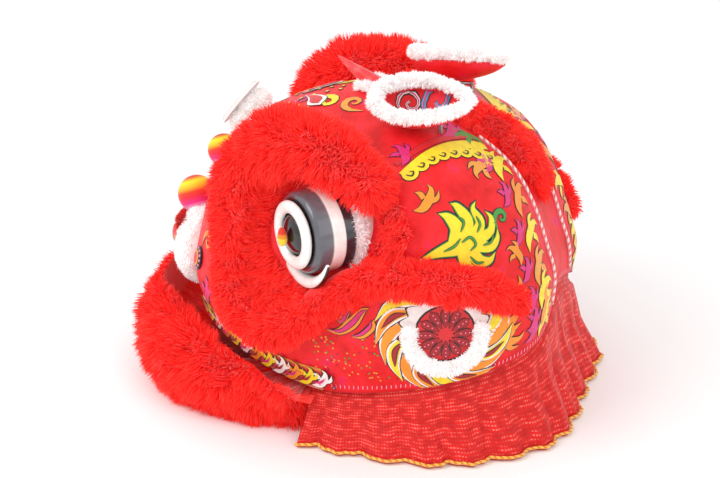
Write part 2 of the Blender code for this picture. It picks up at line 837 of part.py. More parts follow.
def ear_outline(share):
    """Half width and depth of the scoop at a share of its length."""
    swell = np.sin(math.pi * np.clip(share, 0.02, 0.985) ** 0.8) ** 0.7
    return ear_width / 2 * swell, ear_depth * swell**0.8


def make_ear(side, mirror):
    centre, length, width, outward, hinge = ear_frame(mirror)
    share = np.linspace(0, 1, 9)
    half, depth = ear_outline(share)
    turn = np.radians(np.linspace(-90, 90, 7))
    points = (
        centre
        + length * ((share - 0.5) * ear_length)[:, None, None]
        + width * (half[:, None] * np.sin(turn)[None])[..., None]
        - outward * (depth[:, None] * np.cos(turn)[None])[..., None]
    )
    scoop = grid_mesh(points, False)
    if mirror < 0:
        bmesh.ops.reverse_faces(scoop, faces=scoop.faces)
    ear = put(f"ear_{side}", scoop, "printed_cloth", False)
    solidify(ear, ear_wall, -1.0)
    along = Vector(length)
    knuckle = rod(
        f"ear_knuckle_{side}",
        Vector(hinge) - along * ear_knuckle_length / 2,
        Vector(hinge) + along * ear_knuckle_length / 2,
        ear_knuckle_radius,
        None,
        8,
    )
    bore = rod(
        f"ear_bore_{side}",
        Vector(hinge) - along * ear_pin_length,
        Vector(hinge) + along * ear_pin_length,
        ear_pin_radius + pin_clearance,
        None,
        8,
    )
    boolean(ear, knuckle, "UNION")
    boolean(ear, bore)

    pin = rod(
        f"ear_pin_{side}",
        Vector(hinge) - along * ear_pin_length / 2,
        Vector(hinge) + along * ear_pin_length / 2,
        ear_pin_radius,
        "steel",
        8,
    )
    for end in (-1, 1):
        foot = Vector(hinge) + along * end * (ear_pin_length / 2 - ear_pin_radius)
        post = rod(
            f"ear_post_{side}_{'front' if end < 0 else 'back'}",
            foot + Vector((0, 0, ear_pin_radius * 0.5)),
            foot - Vector((0, 0, 0.04)),
            ear_pin_radius * 1.1,
            None,
            6,
        )
        boolean(pin, post, "UNION")
    boolean(pin, seating)

    there = np.linspace(0.02, 0.98, 9)
    half, _ = ear_outline(there)
    one = [(s, h) for s, h in zip(there, half)] + [(s, -h) for s, h in zip(there[::-1], half[::-1])]
    thick = [ear_fur_radius * (1.25 - 0.35 * s) for s, _ in one]
    centres = [
        centre + length * (s - 0.5) * ear_length + width * h + outward * (size * 0.94 + seat_gap)
        for (s, h), size in zip(one, thick)
    ]
    fur_roll(f"ear_fur_{side}", centres, [outward] * len(one), thick, thick, 6, True, "white_fur", 0.12)


def skirt_line(level, flare, fold, inset=0.0):
    """One level of the skirt from mouth corner to mouth corner, round the back."""
    section = np.linspace(skirt_first_section, section_count - skirt_first_section, skirt_steps + 1)
    rim = shell_point(section, np.zeros_like(section))
    outward = rim - np.array([0.0, middle_y, 0.0])
    outward[:, 2] = 0.0
    outward /= np.linalg.norm(outward, axis=1, keepdims=True)
    wave = np.cos(np.linspace(0, 2 * math.pi * skirt_gathers, skirt_steps + 1))
    reach = flare * skirt_flare + fold * skirt_fold * wave - inset
    line = rim + outward * reach[:, None]
    line[:, 2] = rim[:, 2] * level
    return line, outward


def make_skirt():
    inset = shell_wall + skirt_wall / 2 + skirt_seat
    top, outward = skirt_line(1.0, 0.0, 0.0, inset)
    top = top + np.array([0.0, 0.0, skirt_tuck])
    levels = [top]
    for level, flare, fold in skirt_levels:
        levels.append(skirt_line(level, flare, fold, inset * (level > 0.9))[0])
    floor_edge = levels[-1].copy()
    levels[-2][:, :2] = floor_edge[:, :2]
    points = np.stack(levels, 1)
    half = skirt_wall / 2
    outer = points + outward[:, None] * half
    inner = points - outward[:, None] * half
    loop = np.concatenate([outer, inner[:, ::-1]], 1)
    bm = bmesh.new()
    rows = [[bm.verts.new(p) for p in line] for line in loop]
    wide = len(rows[0])
    for here, there in zip(rows[:-1], rows[1:]):
        for j in range(wide):
            bm.faces.new((here[j], there[j], there[(j + 1) % wide], here[(j + 1) % wide]))
    bm.faces.new(rows[0])
    bm.faces.new(rows[-1])
    bmesh.ops.triangulate(bm, faces=bm.faces)
    put("neck_skirt", bm, "knit_cloth")
    hem = floor_edge + outward * (half + hem_radius + hem_clearance)
    hem[:, 2] = hem_height
    size = [hem_radius] * len(hem)
    fur_roll("hem_piping", hem, [(0, 0, 1)] * len(hem), size, size, 3, False, "gold_piping", 0.0)


def clear_of_lip(points):
    """Flatten the jaw roll on the floor and push it out round the upper lip and the muzzle."""
    points[..., 2] = np.where(points[..., 2] < jaw_rest_height, 0.0, points[..., 2])
    section = np.linspace(0, section_count, 72, endpoint=False)
    plan = plain_shell(section, np.full(72, 1 / 3))
    outward = plan - np.array([0.0, middle_y, 0.0])
    outward[:, 2] = 0.0
    outward /= np.linalg.norm(outward, axis=1, keepdims=True)
    edge = plan + outward * lip_clearance
    front = shell_point(0.0, muzzle_up_share())[1] - muzzle_reach[1] - muzzle_clearance
    nearness = np.exp(-((edge[:, 0] / (muzzle_reach[0] * 1.15)) ** 4)) * (edge[:, 1] < middle_y)
    edge[:, 1] += (front - edge[:, 1]) * nearness
    angles = np.arctan2(edge[:, 0], middle_y - edge[:, 1])
    order = np.argsort(angles)
    reaches = np.hypot(edge[:, 0], edge[:, 1] - middle_y)
    x = points[..., 0]
    y = points[..., 1] - middle_y
    away = np.hypot(x, y)
    limit = np.interp(np.arctan2(x, -y), angles[order], reaches[order])
    push = np.where((points[..., 2] > lip_shelf_height) & (away < limit), limit / away, 1.0)
    points[..., 0] = x * push
    points[..., 1] = y * push + middle_y
    return points


def jaw_line(count):
    """The jaw roll's rows from its left end round the front to its right end."""
    half = np.array(jaw_fur_path)
    other = half[-2::-1].copy()
    other[:, 0] *= -1
    return catmull(np.vstack([half, other]), np.linspace(0, 2 * len(half) - 2, count), False)


def make_jaw():
    rows = jaw_line(29)
    centres = np.stack(
        [rows[:, 0] * side_reach, rows[:, 1] * face_reach + middle_y, rows[:, 4] * jaw_fur_radius], 1
    )
    ups = [(0, 0, 1)] * len(rows)
    fur = fur_roll(
        "jaw_fur",
        centres,
        ups,
        rows[:, 2] * jaw_fur_radius,
        rows[:, 3] * jaw_fur_radius,
        10,
        False,
        "red_fur",
        shape=clear_of_lip,
    )

    def board(name, grow, finish):
        inner = jaw_line(17)
        x = inner[:, 0] * side_reach
        y = inner[:, 1] * face_reach + middle_y
        away = np.hypot(x, y - jaw_hinge_y)
        shrink = (away - jaw_board_inset + grow) / away
        x = x * shrink
        y = jaw_hinge_y + (y - jaw_hinge_y) * shrink
        rear = jaw_hinge_y + jaw_lug_half_width + grow
        corner = jaw_lug_x + jaw_lug_wall / 2 + grow
        x = np.concatenate([[corner], x, [-corner]])
        y = np.concatenate([[rear], y, [rear]])
        bm = bmesh.new()
        half = jaw_board_wall / 2 + grow
        low = [bm.verts.new((a, b, jaw_board_height - half)) for a, b in zip(x, y)]
        high = [bm.verts.new((a, b, jaw_board_height + half)) for a, b in zip(x, y)]
        for k in range(len(low)):
            after = (k + 1) % len(low)
            bm.faces.new((low[k], low[after], high[after], high[k]))
        bm.faces.new(low)
        bm.faces.new(high)
        return put(name, bm, finish)

    boolean(fur, board("board_clear", seat_gap, None))
    tray = board("jaw_board", 0.0, "board")
    for side, mirror in sides:
        inner = mirror * (jaw_lug_x - jaw_lug_wall / 2)
        outer = mirror * (jaw_lug_x + jaw_lug_wall / 2)
        lug = box(
            f"jaw_lug_{side}",
            (
                min(inner, outer),
                jaw_hinge_y - jaw_lug_half_width,
                jaw_board_height - jaw_board_wall / 2 + jaw_lug_step,
            ),
            (
                max(inner, outer),
                jaw_hinge_y + jaw_lug_half_width - jaw_lug_step,
                jaw_hinge_z + jaw_lug_half_width,
            ),
            None,
        )
        boolean(tray, lug, "UNION")
        wide = side_reach * 1.1
        near = jaw_lug_x - jaw_lug_wall
        hole_radius = jaw_pin_radius + pin_clearance
        first = (mirror * near, jaw_hinge_y, jaw_hinge_z)
        hole = rod(f"jaw_hole_{side}", first, (mirror * wide, jaw_hinge_y, jaw_hinge_z), hole_radius, None)
        boolean(tray, hole)
        pin = rod(f"jaw_pin_{side}", first, (mirror * wide, jaw_hinge_y, jaw_hinge_z), jaw_pin_radius, "steel")
        boolean(pin, lining, "INTERSECT")


clear_scene()
parts = new_collection("lion_dance_head")
cutters = new_collection("cutters")
sides = (("left", 1.0), ("right", -1.0))
seating = shell_block("shell_seating", seat_gap, 0.02)
lining = shell_block("shell_lining", -shell_wall - seat_gap * 1.2, 0.02)
make_shell()
muzzle_part, muzzle_centre = make_muzzle()
make_nose(muzzle_part, muzzle_centre)
make_mirror()
make_horn()
make_mane()
make_skirt()
make_jaw()
for side_name, side_sign in sides:
    eye_front, eye_direction = make_eye(side_name, side_sign)
    make_brow(side_name, side_sign, eye_front, eye_direction)
    make_wheel(side_name, side_sign)
    make_trim(side_name, side_sign)
    make_piping(side_name, side_sign)
    make_ear(side_name, side_sign)
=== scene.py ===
# Looks of the lion dance head: printed satin, deep fur, plush, velvet balls, glossy eyes and knit cloth.
# The lion faces -Y, its left side is +X, and everything is in metres.
import math

import bpy
import numpy as np
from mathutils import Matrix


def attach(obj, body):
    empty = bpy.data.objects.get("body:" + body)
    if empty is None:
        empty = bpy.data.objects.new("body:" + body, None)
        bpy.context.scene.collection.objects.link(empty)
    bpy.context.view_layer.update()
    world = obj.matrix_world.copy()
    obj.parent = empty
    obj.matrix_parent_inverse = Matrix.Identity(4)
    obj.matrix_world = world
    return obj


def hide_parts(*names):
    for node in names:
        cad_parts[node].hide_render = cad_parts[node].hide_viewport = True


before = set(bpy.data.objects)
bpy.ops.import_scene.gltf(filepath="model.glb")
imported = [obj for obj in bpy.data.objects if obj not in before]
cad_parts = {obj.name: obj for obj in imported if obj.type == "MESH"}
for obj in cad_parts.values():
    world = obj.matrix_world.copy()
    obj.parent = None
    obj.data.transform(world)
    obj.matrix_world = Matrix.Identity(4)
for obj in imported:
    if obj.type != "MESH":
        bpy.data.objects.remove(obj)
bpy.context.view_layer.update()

print("frame loaded")

# the head's form: reaches from its upright middle line, one row a section from the face to the back
headForm = {
    "middleY": 0.0060,
    "sideReach": 0.262,
    "faceReach": 0.285,
    "backReach": 0.330,
    "crownHeight": 0.487,
    "wall": 0.003,
    # plan x, plan y, belly height, rim in, rim height, shoulder in, shoulder height
    "sections": (
        (0.000, -1.000, 0.472, 0.947, 0.308, 0.740, 0.835),
        (0.500, -0.880, 0.440, 0.965, 0.277, 0.740, 0.830),
        (0.850, -0.500, 0.420, 0.950, 0.216, 0.740, 0.830),
        (1.000, 0.000, 0.430, 0.925, 0.160, 0.770, 0.840),
        (0.970, 0.542, 0.450, 0.952, 0.234, 0.800, 0.852),
        (0.566, 0.890, 0.483, 1.000, 0.304, 0.735, 0.858),
        (0.000, 0.890, 0.554, 1.034, 0.400, 0.730, 0.848),
    ),
}
sides = (("Left", "left", 1.0), ("Right", "right", -1.0))


def unit(rows):  # each row divided by its own length
    return rows / np.maximum(np.linalg.norm(rows, axis=-1, keepdims=True), 1e-9)


def flipped(side):  # the mirror factors of one side
    return np.array([side, 1.0, 1.0])


def smoothRows(values, place, ring=False):
    # a cubic through rows of values, read at places counted in rows: each stretch takes its slope at a
    # row from the row before and the row after
    values = np.asarray(values, float)
    place = np.asarray(place, float)
    count = len(values)
    if ring:
        start = np.floor(place).astype(int)
        before, near, far, after = (values[(start + k) % count] for k in (-1, 0, 1, 2))
    else:
        padded = np.vstack([2 * values[0] - values[1], values, 2 * values[-1] - values[-2]])
        start = np.clip(np.floor(place), 0, count - 2).astype(int)
        before, near, far, after = (padded[start + k] for k in (0, 1, 2, 3))
    part = (place - start)[..., None]
    bend = (2 * before - 5 * near + 4 * far - after) * part**2
    twist = (3 * near - before - 3 * far + after) * part**3
    return 0.5 * (2 * near + (far - before) * part + bend + twist)


def plainShell(section, up):
    # the head without its eye hollows: each section is a cubic from rim through belly and shoulder to
    # the crown, and the sections join in a ring of twelve
    section, up = np.broadcast_arrays(np.asarray(section, float), np.asarray(up, float))
    half = np.array(headForm["sections"])
    other = half[-2:0:-1] * np.array([-1, 1, 1, 1, 1, 1, 1])
    row = smoothRows(np.vstack([half, other]), section, True)
    planX = row[..., 0] * headForm["sideReach"]
    planY = row[..., 1] * np.where(row[..., 1] < 0, headForm["faceReach"], headForm["backReach"])
    one = np.ones_like(planX)
    tall = headForm["crownHeight"]
    rim = np.stack([planX * row[..., 3], planY * row[..., 3], row[..., 4] * tall], -1)
    belly = np.stack([planX, planY, row[..., 2] * tall], -1)
    shoulder = np.stack([planX * row[..., 5], planY * row[..., 5], row[..., 6] * tall], -1)
    crown = np.stack([0 * one, 0 * one, one * tall], -1)
    knots = (2 * rim - belly, rim, belly, shoulder, crown, shoulder * np.array([-1.0, -1.0, 1.0]))
    place = np.clip(up * 3, 0, 2.999999)
    out = np.zeros(planX.shape + (3,))
    for step in range(3):
        part = (place - step)[..., None]
        before, near, far, after = knots[step:step + 4]
        value = 0.5 * (
            2 * near
            + (far - before) * part
            + (2 * before - 5 * near + 4 * far - after) * part**2
            + (3 * near - before - 3 * far + after) * part**3
        )
        out = np.where((np.floor(place) == step)[..., None], value, out)
    return out + np.array([0.0, headForm["middleY"], 0.0])


eyeForm = {
    "section": 2.85,
    "up": 0.545,
    "turn": math.radians(48),
    "proud": 0.030,
    "radius": 0.062,
    "baseRadius": 0.070,
    "length": 0.110,
    "hollowDepth": 0.042,
    "hollowReach": 0.070,
}
eyeAxis = np.array([math.sin(eyeForm["turn"]), -math.cos(eyeForm["turn"]), 0.0])
eyeSeat = plainShell(eyeForm["section"], eyeForm["up"])
eyeFront = eyeSeat + eyeAxis * eyeForm["proud"]


def shellPoint(section, up):
    # the head with a hollow pressed in behind each eye: a bell curve of the distance from the seat
    out = plainShell(section, up)
    for side in (1.0, -1.0):
        away = np.linalg.norm(out - eyeSeat * flipped(side), axis=-1)[..., None]
        press = eyeForm["hollowDepth"] * np.exp(-((away / eyeForm["hollowReach"]) ** 2))
        out = out - eyeAxis * flipped(side) * press
    return out


def shellNormal(section, up, step=0.02):  # the cross product of the two slopes of the head
    up = np.clip(np.asarray(up, float), step, 1 - step)
    along = shellPoint(section + step, up) - shellPoint(section - step, up)
    rise = shellPoint(section, up + step) - shellPoint(section, up - step)
    return unit(np.cross(along, rise))


# Colours and materials

def linear(hexText):  # sRGB hex to linear red, green, blue and alpha
    parts = np.array([int(hexText[k:k + 2], 16) for k in (1, 3, 5)]) / 255
    light = np.where(parts <= 0.04045, parts / 12.92, ((parts + 0.055) / 1.055) ** 2.4)
    return (*light.tolist(), 1.0)


def newMaterial(name, **sockets):  # a Principled material with values set on its own sockets
    made = bpy.data.materials.new(name)
    made.use_nodes = True
    shader = made.node_tree.nodes["Principled BSDF"]
    for socket, value in sockets.items():
        shader.inputs[socket.replace("_", " ")].default_value = value
    return made, made.node_tree, shader


def addNode(tree, kind, settings=None, inputs=None):
    # one node with its settings; an input is a value, or a socket to link
    node = tree.nodes.new(kind)
    for key, value in (settings or {}).items():
        setattr(node, key, value)
    for key, value in (inputs or {}).items():
        if isinstance(value, bpy.types.NodeSocket):
            tree.links.new(value, node.inputs[key])
        else:
            node.inputs[key].default_value = value
    return node


def rampNode(tree, factor, stops):  # a colour ramp with its stops at places from 0 to 1
    node = addNode(tree, "ShaderNodeValToRGB", inputs={"Fac": factor})
    while len(node.color_ramp.elements) < len(stops):
        node.color_ramp.elements.new(0.5)
    for element, (place, hexText) in zip(node.color_ramp.elements, stops):
        element.position = place
        element.color = linear(hexText)
    return node


def bumpFrom(tree, shader, height, strength, depth):  # relief of a depth in metres
    bump = addNode(
        tree, "ShaderNodeBump", inputs={"Height": height, "Strength": strength, "Distance": depth}
    )
    tree.links.new(bump.outputs["Normal"], shader.inputs["Normal"])


def weaveHeight(tree, vector, threadMm):
    # two crossed waves of one thread's pitch, for cloth whose threads cross at right angles
    scale = 314 / threadMm  # the wave node repeats each 0.314 m over its scale
    rows = []
    for direction in ("X", "Z"):
        rows.append(addNode(
            tree, "ShaderNodeTexWave", {"bands_direction": direction}, {"Vector": vector, "Scale": scale}
        ))
    both = addNode(
        tree, "ShaderNodeMath", {"operation": "MULTIPLY"},
        {0: rows[0].outputs["Fac"], 1: rows[1].outputs["Fac"]},
    )
    return both.outputs[0]


def satinPrintCloth():
    # polyester satin, dyed red with a bled magenta ground: a soft broad shine, and fine puckers from the
    # padding under it
    made, tree, shader = newMaterial(
        "satinPrintCloth", Roughness=0.48, Sheen_Weight=0.06, Sheen_Roughness=0.4, Specular_IOR_Level=0.30
    )
    spot = addNode(tree, "ShaderNodeTexCoord").outputs["Object"]
    bleed = addNode(tree, "ShaderNodeTexNoise", inputs={"Vector": spot, "Scale": 26.0, "Detail": 4.0})
    ground = rampNode(
        tree, bleed.outputs["Fac"],
        ((0.30, "#D40C16"), (0.48, "#E81A1E"), (0.62, "#F02430"), (0.78, "#E01E62")),
    )
    fleck = addNode(tree, "ShaderNodeTexVoronoi", inputs={"Vector": spot, "Scale": 190.0})
    dots = rampNode(tree, fleck.outputs["Distance"], ((0.10, "#FF8A8A"), (0.22, "#FFFFFF")))
    mixed = addNode(
        tree, "ShaderNodeMix", {"data_type": "RGBA", "blend_type": "MULTIPLY"},
        {"Factor": 0.35, 6: ground.outputs["Color"], 7: dots.outputs["Color"]},
    )
    tree.links.new(mixed.outputs[2], shader.inputs["Base Color"])
    pucker = addNode(tree, "ShaderNodeTexNoise", inputs={"Vector": spot, "Scale": 38.0, "Detail": 3.0})
    weave = weaveHeight(tree, spot, 1.6)  # real thread is 0.2 mm, too fine to show
    height = addNode(
        tree, "ShaderNodeMath", {"operation": "MULTIPLY_ADD"},
        {0: weave, 1: 0.12, 2: pucker.outputs["Fac"]},
    )
    bumpFrom(tree, shader, height.outputs[0], 0.5, 0.004)
    return made


def liningCloth():
    # plain cotton lining, unbleached red: flat and matt
    made, tree, shader = newMaterial("liningCloth", Roughness=0.9)
    spot = addNode(tree, "ShaderNodeTexCoord").outputs["Object"]
    cloud = addNode(tree, "ShaderNodeTexNoise", inputs={"Vector": spot, "Scale": 14.0, "Detail": 5.0})
    tone = rampNode(tree, cloud.outputs["Fac"], ((0.3, "#7A1414"), (0.7, "#9C2420")))
    tree.links.new(tone.outputs["Color"], shader.inputs["Base Color"])
    bumpFrom(tree, shader, weaveHeight(tree, spot, 2.0), 0.4, 0.001)
    return made


def strandFur(name, root, middle, tip, rough=0.55, sheen=0.3, glow=0.0):
    # acrylic pile, brushed out: each strand is lighter towards its tip and differs a little from the next;
    # its darker root is painted shade deep in the pile, and a faint glow of its own colour stands for the light
    # that pile passes on from strand to strand
    made, tree, shader = newMaterial(
        name, Roughness=rough, Sheen_Weight=sheen, Sheen_Roughness=0.5, Specular_IOR_Level=0.25,
        Emission_Strength=glow,
    )
    strand = addNode(tree, "ShaderNodeAttribute", {"attribute_name": "strand"})
    parts = addNode(tree, "ShaderNodeSeparateColor", inputs={"Color": strand.outputs["Color"]})
    shade = addNode(
        tree, "ShaderNodeMath", {"operation": "MULTIPLY_ADD", "use_clamp": True},
        {0: parts.outputs["Red"], 1: 0.40, 2: parts.outputs["Green"]},
    )
    # painted shade: the root colour is darker than the tip, as if in the shade deep in the pile
    tone = rampNode(tree, shade.outputs[0], ((0.12, root), (0.50, middle), (1.0, tip)))
    tree.links.new(tone.outputs["Color"], shader.inputs["Base Color"])
    tree.links.new(tone.outputs["Color"], shader.inputs["Emission Color"])
    return made


def inkCloth(name, rough, weaveMm, depth, **sockets):
    # dye or paint that follows each point's own ink colour, over a woven or painted ground
    made, tree, shader = newMaterial(name, Roughness=rough, **sockets)
    ink = addNode(tree, "ShaderNodeAttribute", {"attribute_name": "ink"})
    spot = addNode(tree, "ShaderNodeTexCoord").outputs["Object"]
    wear = addNode(tree, "ShaderNodeTexNoise", inputs={"Vector": spot, "Scale": 90.0, "Detail": 3.0})
    tone = rampNode(tree, wear.outputs["Fac"], ((0.35, "#E6E2E0"), (0.65, "#FFFFFF")))
    mixed = addNode(
        tree, "ShaderNodeMix", {"data_type": "RGBA", "blend_type": "MULTIPLY"},
        {"Factor": 0.5, 6: ink.outputs["Color"], 7: tone.outputs["Color"]},
    )
    tree.links.new(mixed.outputs[2], shader.inputs["Base Color"])
    bumpFrom(tree, shader, weaveHeight(tree, spot, weaveMm), 0.35, depth)
    return made


def bandedVelvet(name, centre, radius, across):
    # stretch velvet with dyed bands that run into each other: a soft rim of light where the pile turns away
    made, tree, shader = newMaterial(
        name, Roughness=0.8, Sheen_Weight=0.7, Sheen_Roughness=0.35, Sheen_Tint=linear("#FFD8D0")
    )
    spot = addNode(tree, "ShaderNodeTexCoord").outputs["Object"]
    centred = addNode(
        tree, "ShaderNodeVectorMath", {"operation": "SUBTRACT"}, {0: spot, 1: tuple(centre)}
    )
    level = addNode(
        tree, "ShaderNodeVectorMath", {"operation": "DOT_PRODUCT"},
        {0: centred.outputs[0], 1: tuple(across)},
    )
    place = addNode(
        tree, "ShaderNodeMath", {"operation": "MULTIPLY_ADD", "use_clamp": True},
        {0: level.outputs["Value"], 1: 0.5 / radius, 2: 0.5},
    )
    tone = rampNode(
        tree, place.outputs[0],
        (
            (0.06, "#F3C9DA"), (0.20, "#F6A8CC"), (0.30, "#EE2C8C"), (0.46, "#E8283A"),
            (0.58, "#F03A20"), (0.70, "#F8B41C"), (0.84, "#F8E428"), (0.95, "#D8301C"),
        ),
    )
    tree.links.new(tone.outputs["Color"], shader.inputs["Base Color"])
    pile = addNode(tree, "ShaderNodeTexNoise", inputs={"Vector": spot, "Scale": 420.0, "Detail": 2.0})
    bumpFrom(tree, shader, pile.outputs["Fac"], 0.5, 0.0006)
    return made


def sequinKnit():
    # stretch knit with rows of small foil ticks: red and soft between them, with pale pink glints painted into the
    # ticks' colour
    made, tree, shader = newMaterial(
        "sequinKnit", Roughness=0.5, Sheen_Weight=0.06, Sheen_Roughness=0.5, Specular_IOR_Level=0.30
    )
    flat = addNode(tree, "ShaderNodeUVMap", {"uv_map": "cloth"}).outputs["UV"]
    split = addNode(tree, "ShaderNodeSeparateXYZ", inputs={"Vector": flat})
    tickMm = (5.0, 9.0)  # one tick each 5 mm along a row, one row each 9 mm
    bands = []
    for axis, pitch in zip("XY", tickMm):
        share = addNode(
            tree, "ShaderNodeMath", {"operation": "MULTIPLY"}, {0: split.outputs[axis], 1: 1000 / pitch}
        )
        saw = addNode(tree, "ShaderNodeMath", {"operation": "FRACT"}, {0: share.outputs[0]})
        off = addNode(tree, "ShaderNodeMath", {"operation": "SUBTRACT"}, {0: saw.outputs[0], 1: 0.5})
        bands.append(addNode(tree, "ShaderNodeMath", {"operation": "ABSOLUTE"}, {0: off.outputs[0]}))
    inside = []
    for band, half in zip(bands, (0.30, 0.17)):
        inside.append(addNode(
            tree, "ShaderNodeMath", {"operation": "LESS_THAN"}, {0: band.outputs[0], 1: half}
        ))
    tick = addNode(
        tree, "ShaderNodeMath", {"operation": "MULTIPLY"},
        {0: inside[0].outputs[0], 1: inside[1].outputs[0]},
    )
    # painted highlight: this noise sets how brightly the ticks are painted pale pink, in place of light caught by the
    # foil
    glint = addNode(tree, "ShaderNodeTexNoise", inputs={"Vector": flat, "Scale": 55.0, "Detail": 2.0})
    bright = addNode(
        tree, "ShaderNodeMapRange", {},
        {"Value": glint.outputs["Fac"], "From Min": 0.46, "From Max": 0.66, "To Min": 0.06, "To Max": 0.85},
    )
    amount = addNode(
        tree, "ShaderNodeMath", {"operation": "MULTIPLY"}, {0: tick.outputs[0], 1: bright.outputs[0]}
    )
    # painted sheen: the red between the ticks is lighter where the painted glints are bright
    ground = rampNode(tree, glint.outputs["Fac"], ((0.35, "#C20C0A"), (0.65, "#E61A12")))
    mixed = addNode(
        tree, "ShaderNodeMix", {"data_type": "RGBA"},
        {"Factor": amount.outputs[0], 6: ground.outputs["Color"], 7: linear("#F58C80")},
    )
    tree.links.new(mixed.outputs[2], shader.inputs["Base Color"])
    rough = addNode(
        tree, "ShaderNodeMapRange", {}, {"Value": amount.outputs[0], "To Min": 0.55, "To Max": 0.2}
    )
    tree.links.new(rough.outputs[0], shader.inputs["Roughness"])
    rib = addNode(
        tree, "ShaderNodeMath", {"operation": "MULTIPLY_ADD"},
        {0: tick.outputs[0], 1: 0.6, 2: bands[1].outputs[0]},
    )
    bumpFrom(tree, shader, rib.outputs[0], 0.6, 0.0012)
    return made


def wovenCord(name, dark, light, pitchMm):
    # braided polyester cord: slanted bright strands, and darker colour in the gaps between them that is painted shade
    # there, which on the pink and white cord is also its own pink
    made, tree, shader = newMaterial(name, Roughness=0.45, Sheen_Weight=0.3, Sheen_Roughness=0.4)
    flat = addNode(tree, "ShaderNodeUVMap", {"uv_map": "cloth"}).outputs["UV"]
    braid = addNode(
        tree, "ShaderNodeTexWave", {"bands_direction": "DIAGONAL"},
        {"Vector": flat, "Scale": 314 / pitchMm, "Distortion": 0.6},
    )
    # painted shade: the darker stop lies in the gaps of the braid
    tone = rampNode(tree, braid.outputs["Fac"], ((0.15, dark), (0.7, light)))
    tree.links.new(tone.outputs["Color"], shader.inputs["Base Color"])
    bumpFrom(tree, shader, braid.outputs["Fac"], 0.6, 0.0008)
    return made


def hornSatin():
    # acetate satin sewn over a cone: pinkish red with long soft creases, coloured with painted sheen on their ridges
    # and painted shade in their folds
    made, tree, shader = newMaterial(
        "hornSatin", Roughness=0.32, Sheen_Weight=0.2, Sheen_Roughness=0.3, Specular_IOR_Level=0.6
    )
    spot = addNode(tree, "ShaderNodeTexCoord").outputs["Object"]
    crease = addNode(tree, "ShaderNodeTexNoise", inputs={"Vector": spot, "Scale": 60.0, "Detail": 2.0})
    # painted sheen and painted shade: pale pink where the crease noise is high, deeper red where it is low
    tone = rampNode(tree, crease.outputs["Fac"], ((0.3, "#DC2430"), (0.55, "#F24A4C"), (0.75, "#FA8A84")))
    tree.links.new(tone.outputs["Color"], shader.inputs["Base Color"])
    bumpFrom(tree, shader, crease.outputs["Fac"], 0.5, 0.003)
    return made


def silveredGlass():
    # plain mirror glass: bright, with a faint grey cast
    made, tree, shader = newMaterial("silveredGlass", Metallic=1.0, Roughness=0.06)
    spot = addNode(tree, "ShaderNodeTexCoord").outputs["Object"]
    haze = addNode(tree, "ShaderNodeTexNoise", inputs={"Vector": spot, "Scale": 40.0, "Detail": 4.0})
    tone = rampNode(tree, haze.outputs["Fac"], ((0.35, "#C9CDD2"), (0.65, "#E6E9EC")))
    tree.links.new(tone.outputs["Color"], shader.inputs["Base Color"])
    return made


def drawnSteel():
    # drawn steel rod: grey, with fine lines along it
    made, tree, shader = newMaterial("drawnSteel", Metallic=1.0, Roughness=0.35)
    spot = addNode(tree, "ShaderNodeTexCoord").outputs["Object"]
    lines = addNode(tree, "ShaderNodeTexNoise", inputs={"Vector": spot, "Scale": 300.0, "Detail": 3.0})
    tone = rampNode(tree, lines.outputs["Fac"], ((0.3, "#84868A"), (0.7, "#B4B6BA")))
    tree.links.new(tone.outputs["Color"], shader.inputs["Base Color"])
    bumpFrom(tree, shader, lines.outputs["Fac"], 0.3, 0.0003)
    return made


looks = {
    "satin": satinPrintCloth(),
    "lining": liningCloth(),
    "redFur": strandFur("redAcrylicFur", "#E00C0A", "#FB1C14", "#FF3A2C", glow=0.10),
    "deepFur": strandFur("deepRedAcrylicFur", "#8E060A", "#C40E14", "#E83020", glow=0.15),
    "whiteFur": strandFur("whiteAcrylicPlush", "#F4ECEA", "#FCF9F8", "#FFFFFF", glow=0.10),
    "lashFur": strandFur("greyPinkLashFur", "#A08A90", "#EAD6D6", "#FFF4F2", glow=0.15),
    "print": inkCloth("screenPrintInk", 0.45, 1.6, 0.0006, Sheen_Weight=0.15),
    "eyePaint": inkCloth("eyeLacquer", 0.16, 6.0, 0.0001, Coat_Weight=0.5, Coat_Roughness=0.08),
    "felt": inkCloth("dyedFelt", 0.85, 2.2, 0.0010, Sheen_Weight=0.4),
    "knit": sequinKnit(),
    "goldCord": wovenCord("goldBraidedCord", "#D87A18", "#FAC050", 5.0),
    "pinkCord": wovenCord("pinkWhiteCord", "#E46A72", "#FBE8E4", 6.0),
    "horn": hornSatin(),
    "mirror": silveredGlass(),
    "steel": drawnSteel(),
}
print("materials made")


# Mesh helpers

def makePiece(name, points, quads, tris=None, body="root", slot="printed_cloth", look="satin", smooth=True):
    # one mesh from whole arrays of points and faces, riding on its body
    quads = np.asarray(quads, np.int32).reshape(-1, 4)
    tris = np.zeros((0, 3), np.int32) if tris is None else np.asarray(tris, np.int32).reshape(-1, 3)
    mesh = bpy.data.meshes.new(name)
    points = np.asarray(points, np.float32).reshape(-1, 3)
    mesh.vertices.add(len(points))
    mesh.vertices.foreach_set("co", points.ravel())
    corners = np.concatenate([quads.ravel(), tris.ravel()])
    mesh.loops.add(len(corners))
    mesh.loops.foreach_set("vertex_index", corners)
    starts = np.concatenate([np.arange(len(quads)) * 4, 4 * len(quads) + np.arange(len(tris)) * 3])
    mesh.polygons.add(len(starts))
    mesh.polygons.foreach_set("loop_start", starts.astype(np.int32))
    mesh.polygons.foreach_set("use_smooth", np.full(len(starts), smooth))
    mesh.update(calc_edges=True)
    piece = bpy.data.objects.new(name, mesh)
    bpy.context.scene.collection.objects.link(piece)
    mesh.materials.append(looks[look])
    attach(piece, body)
    return piece


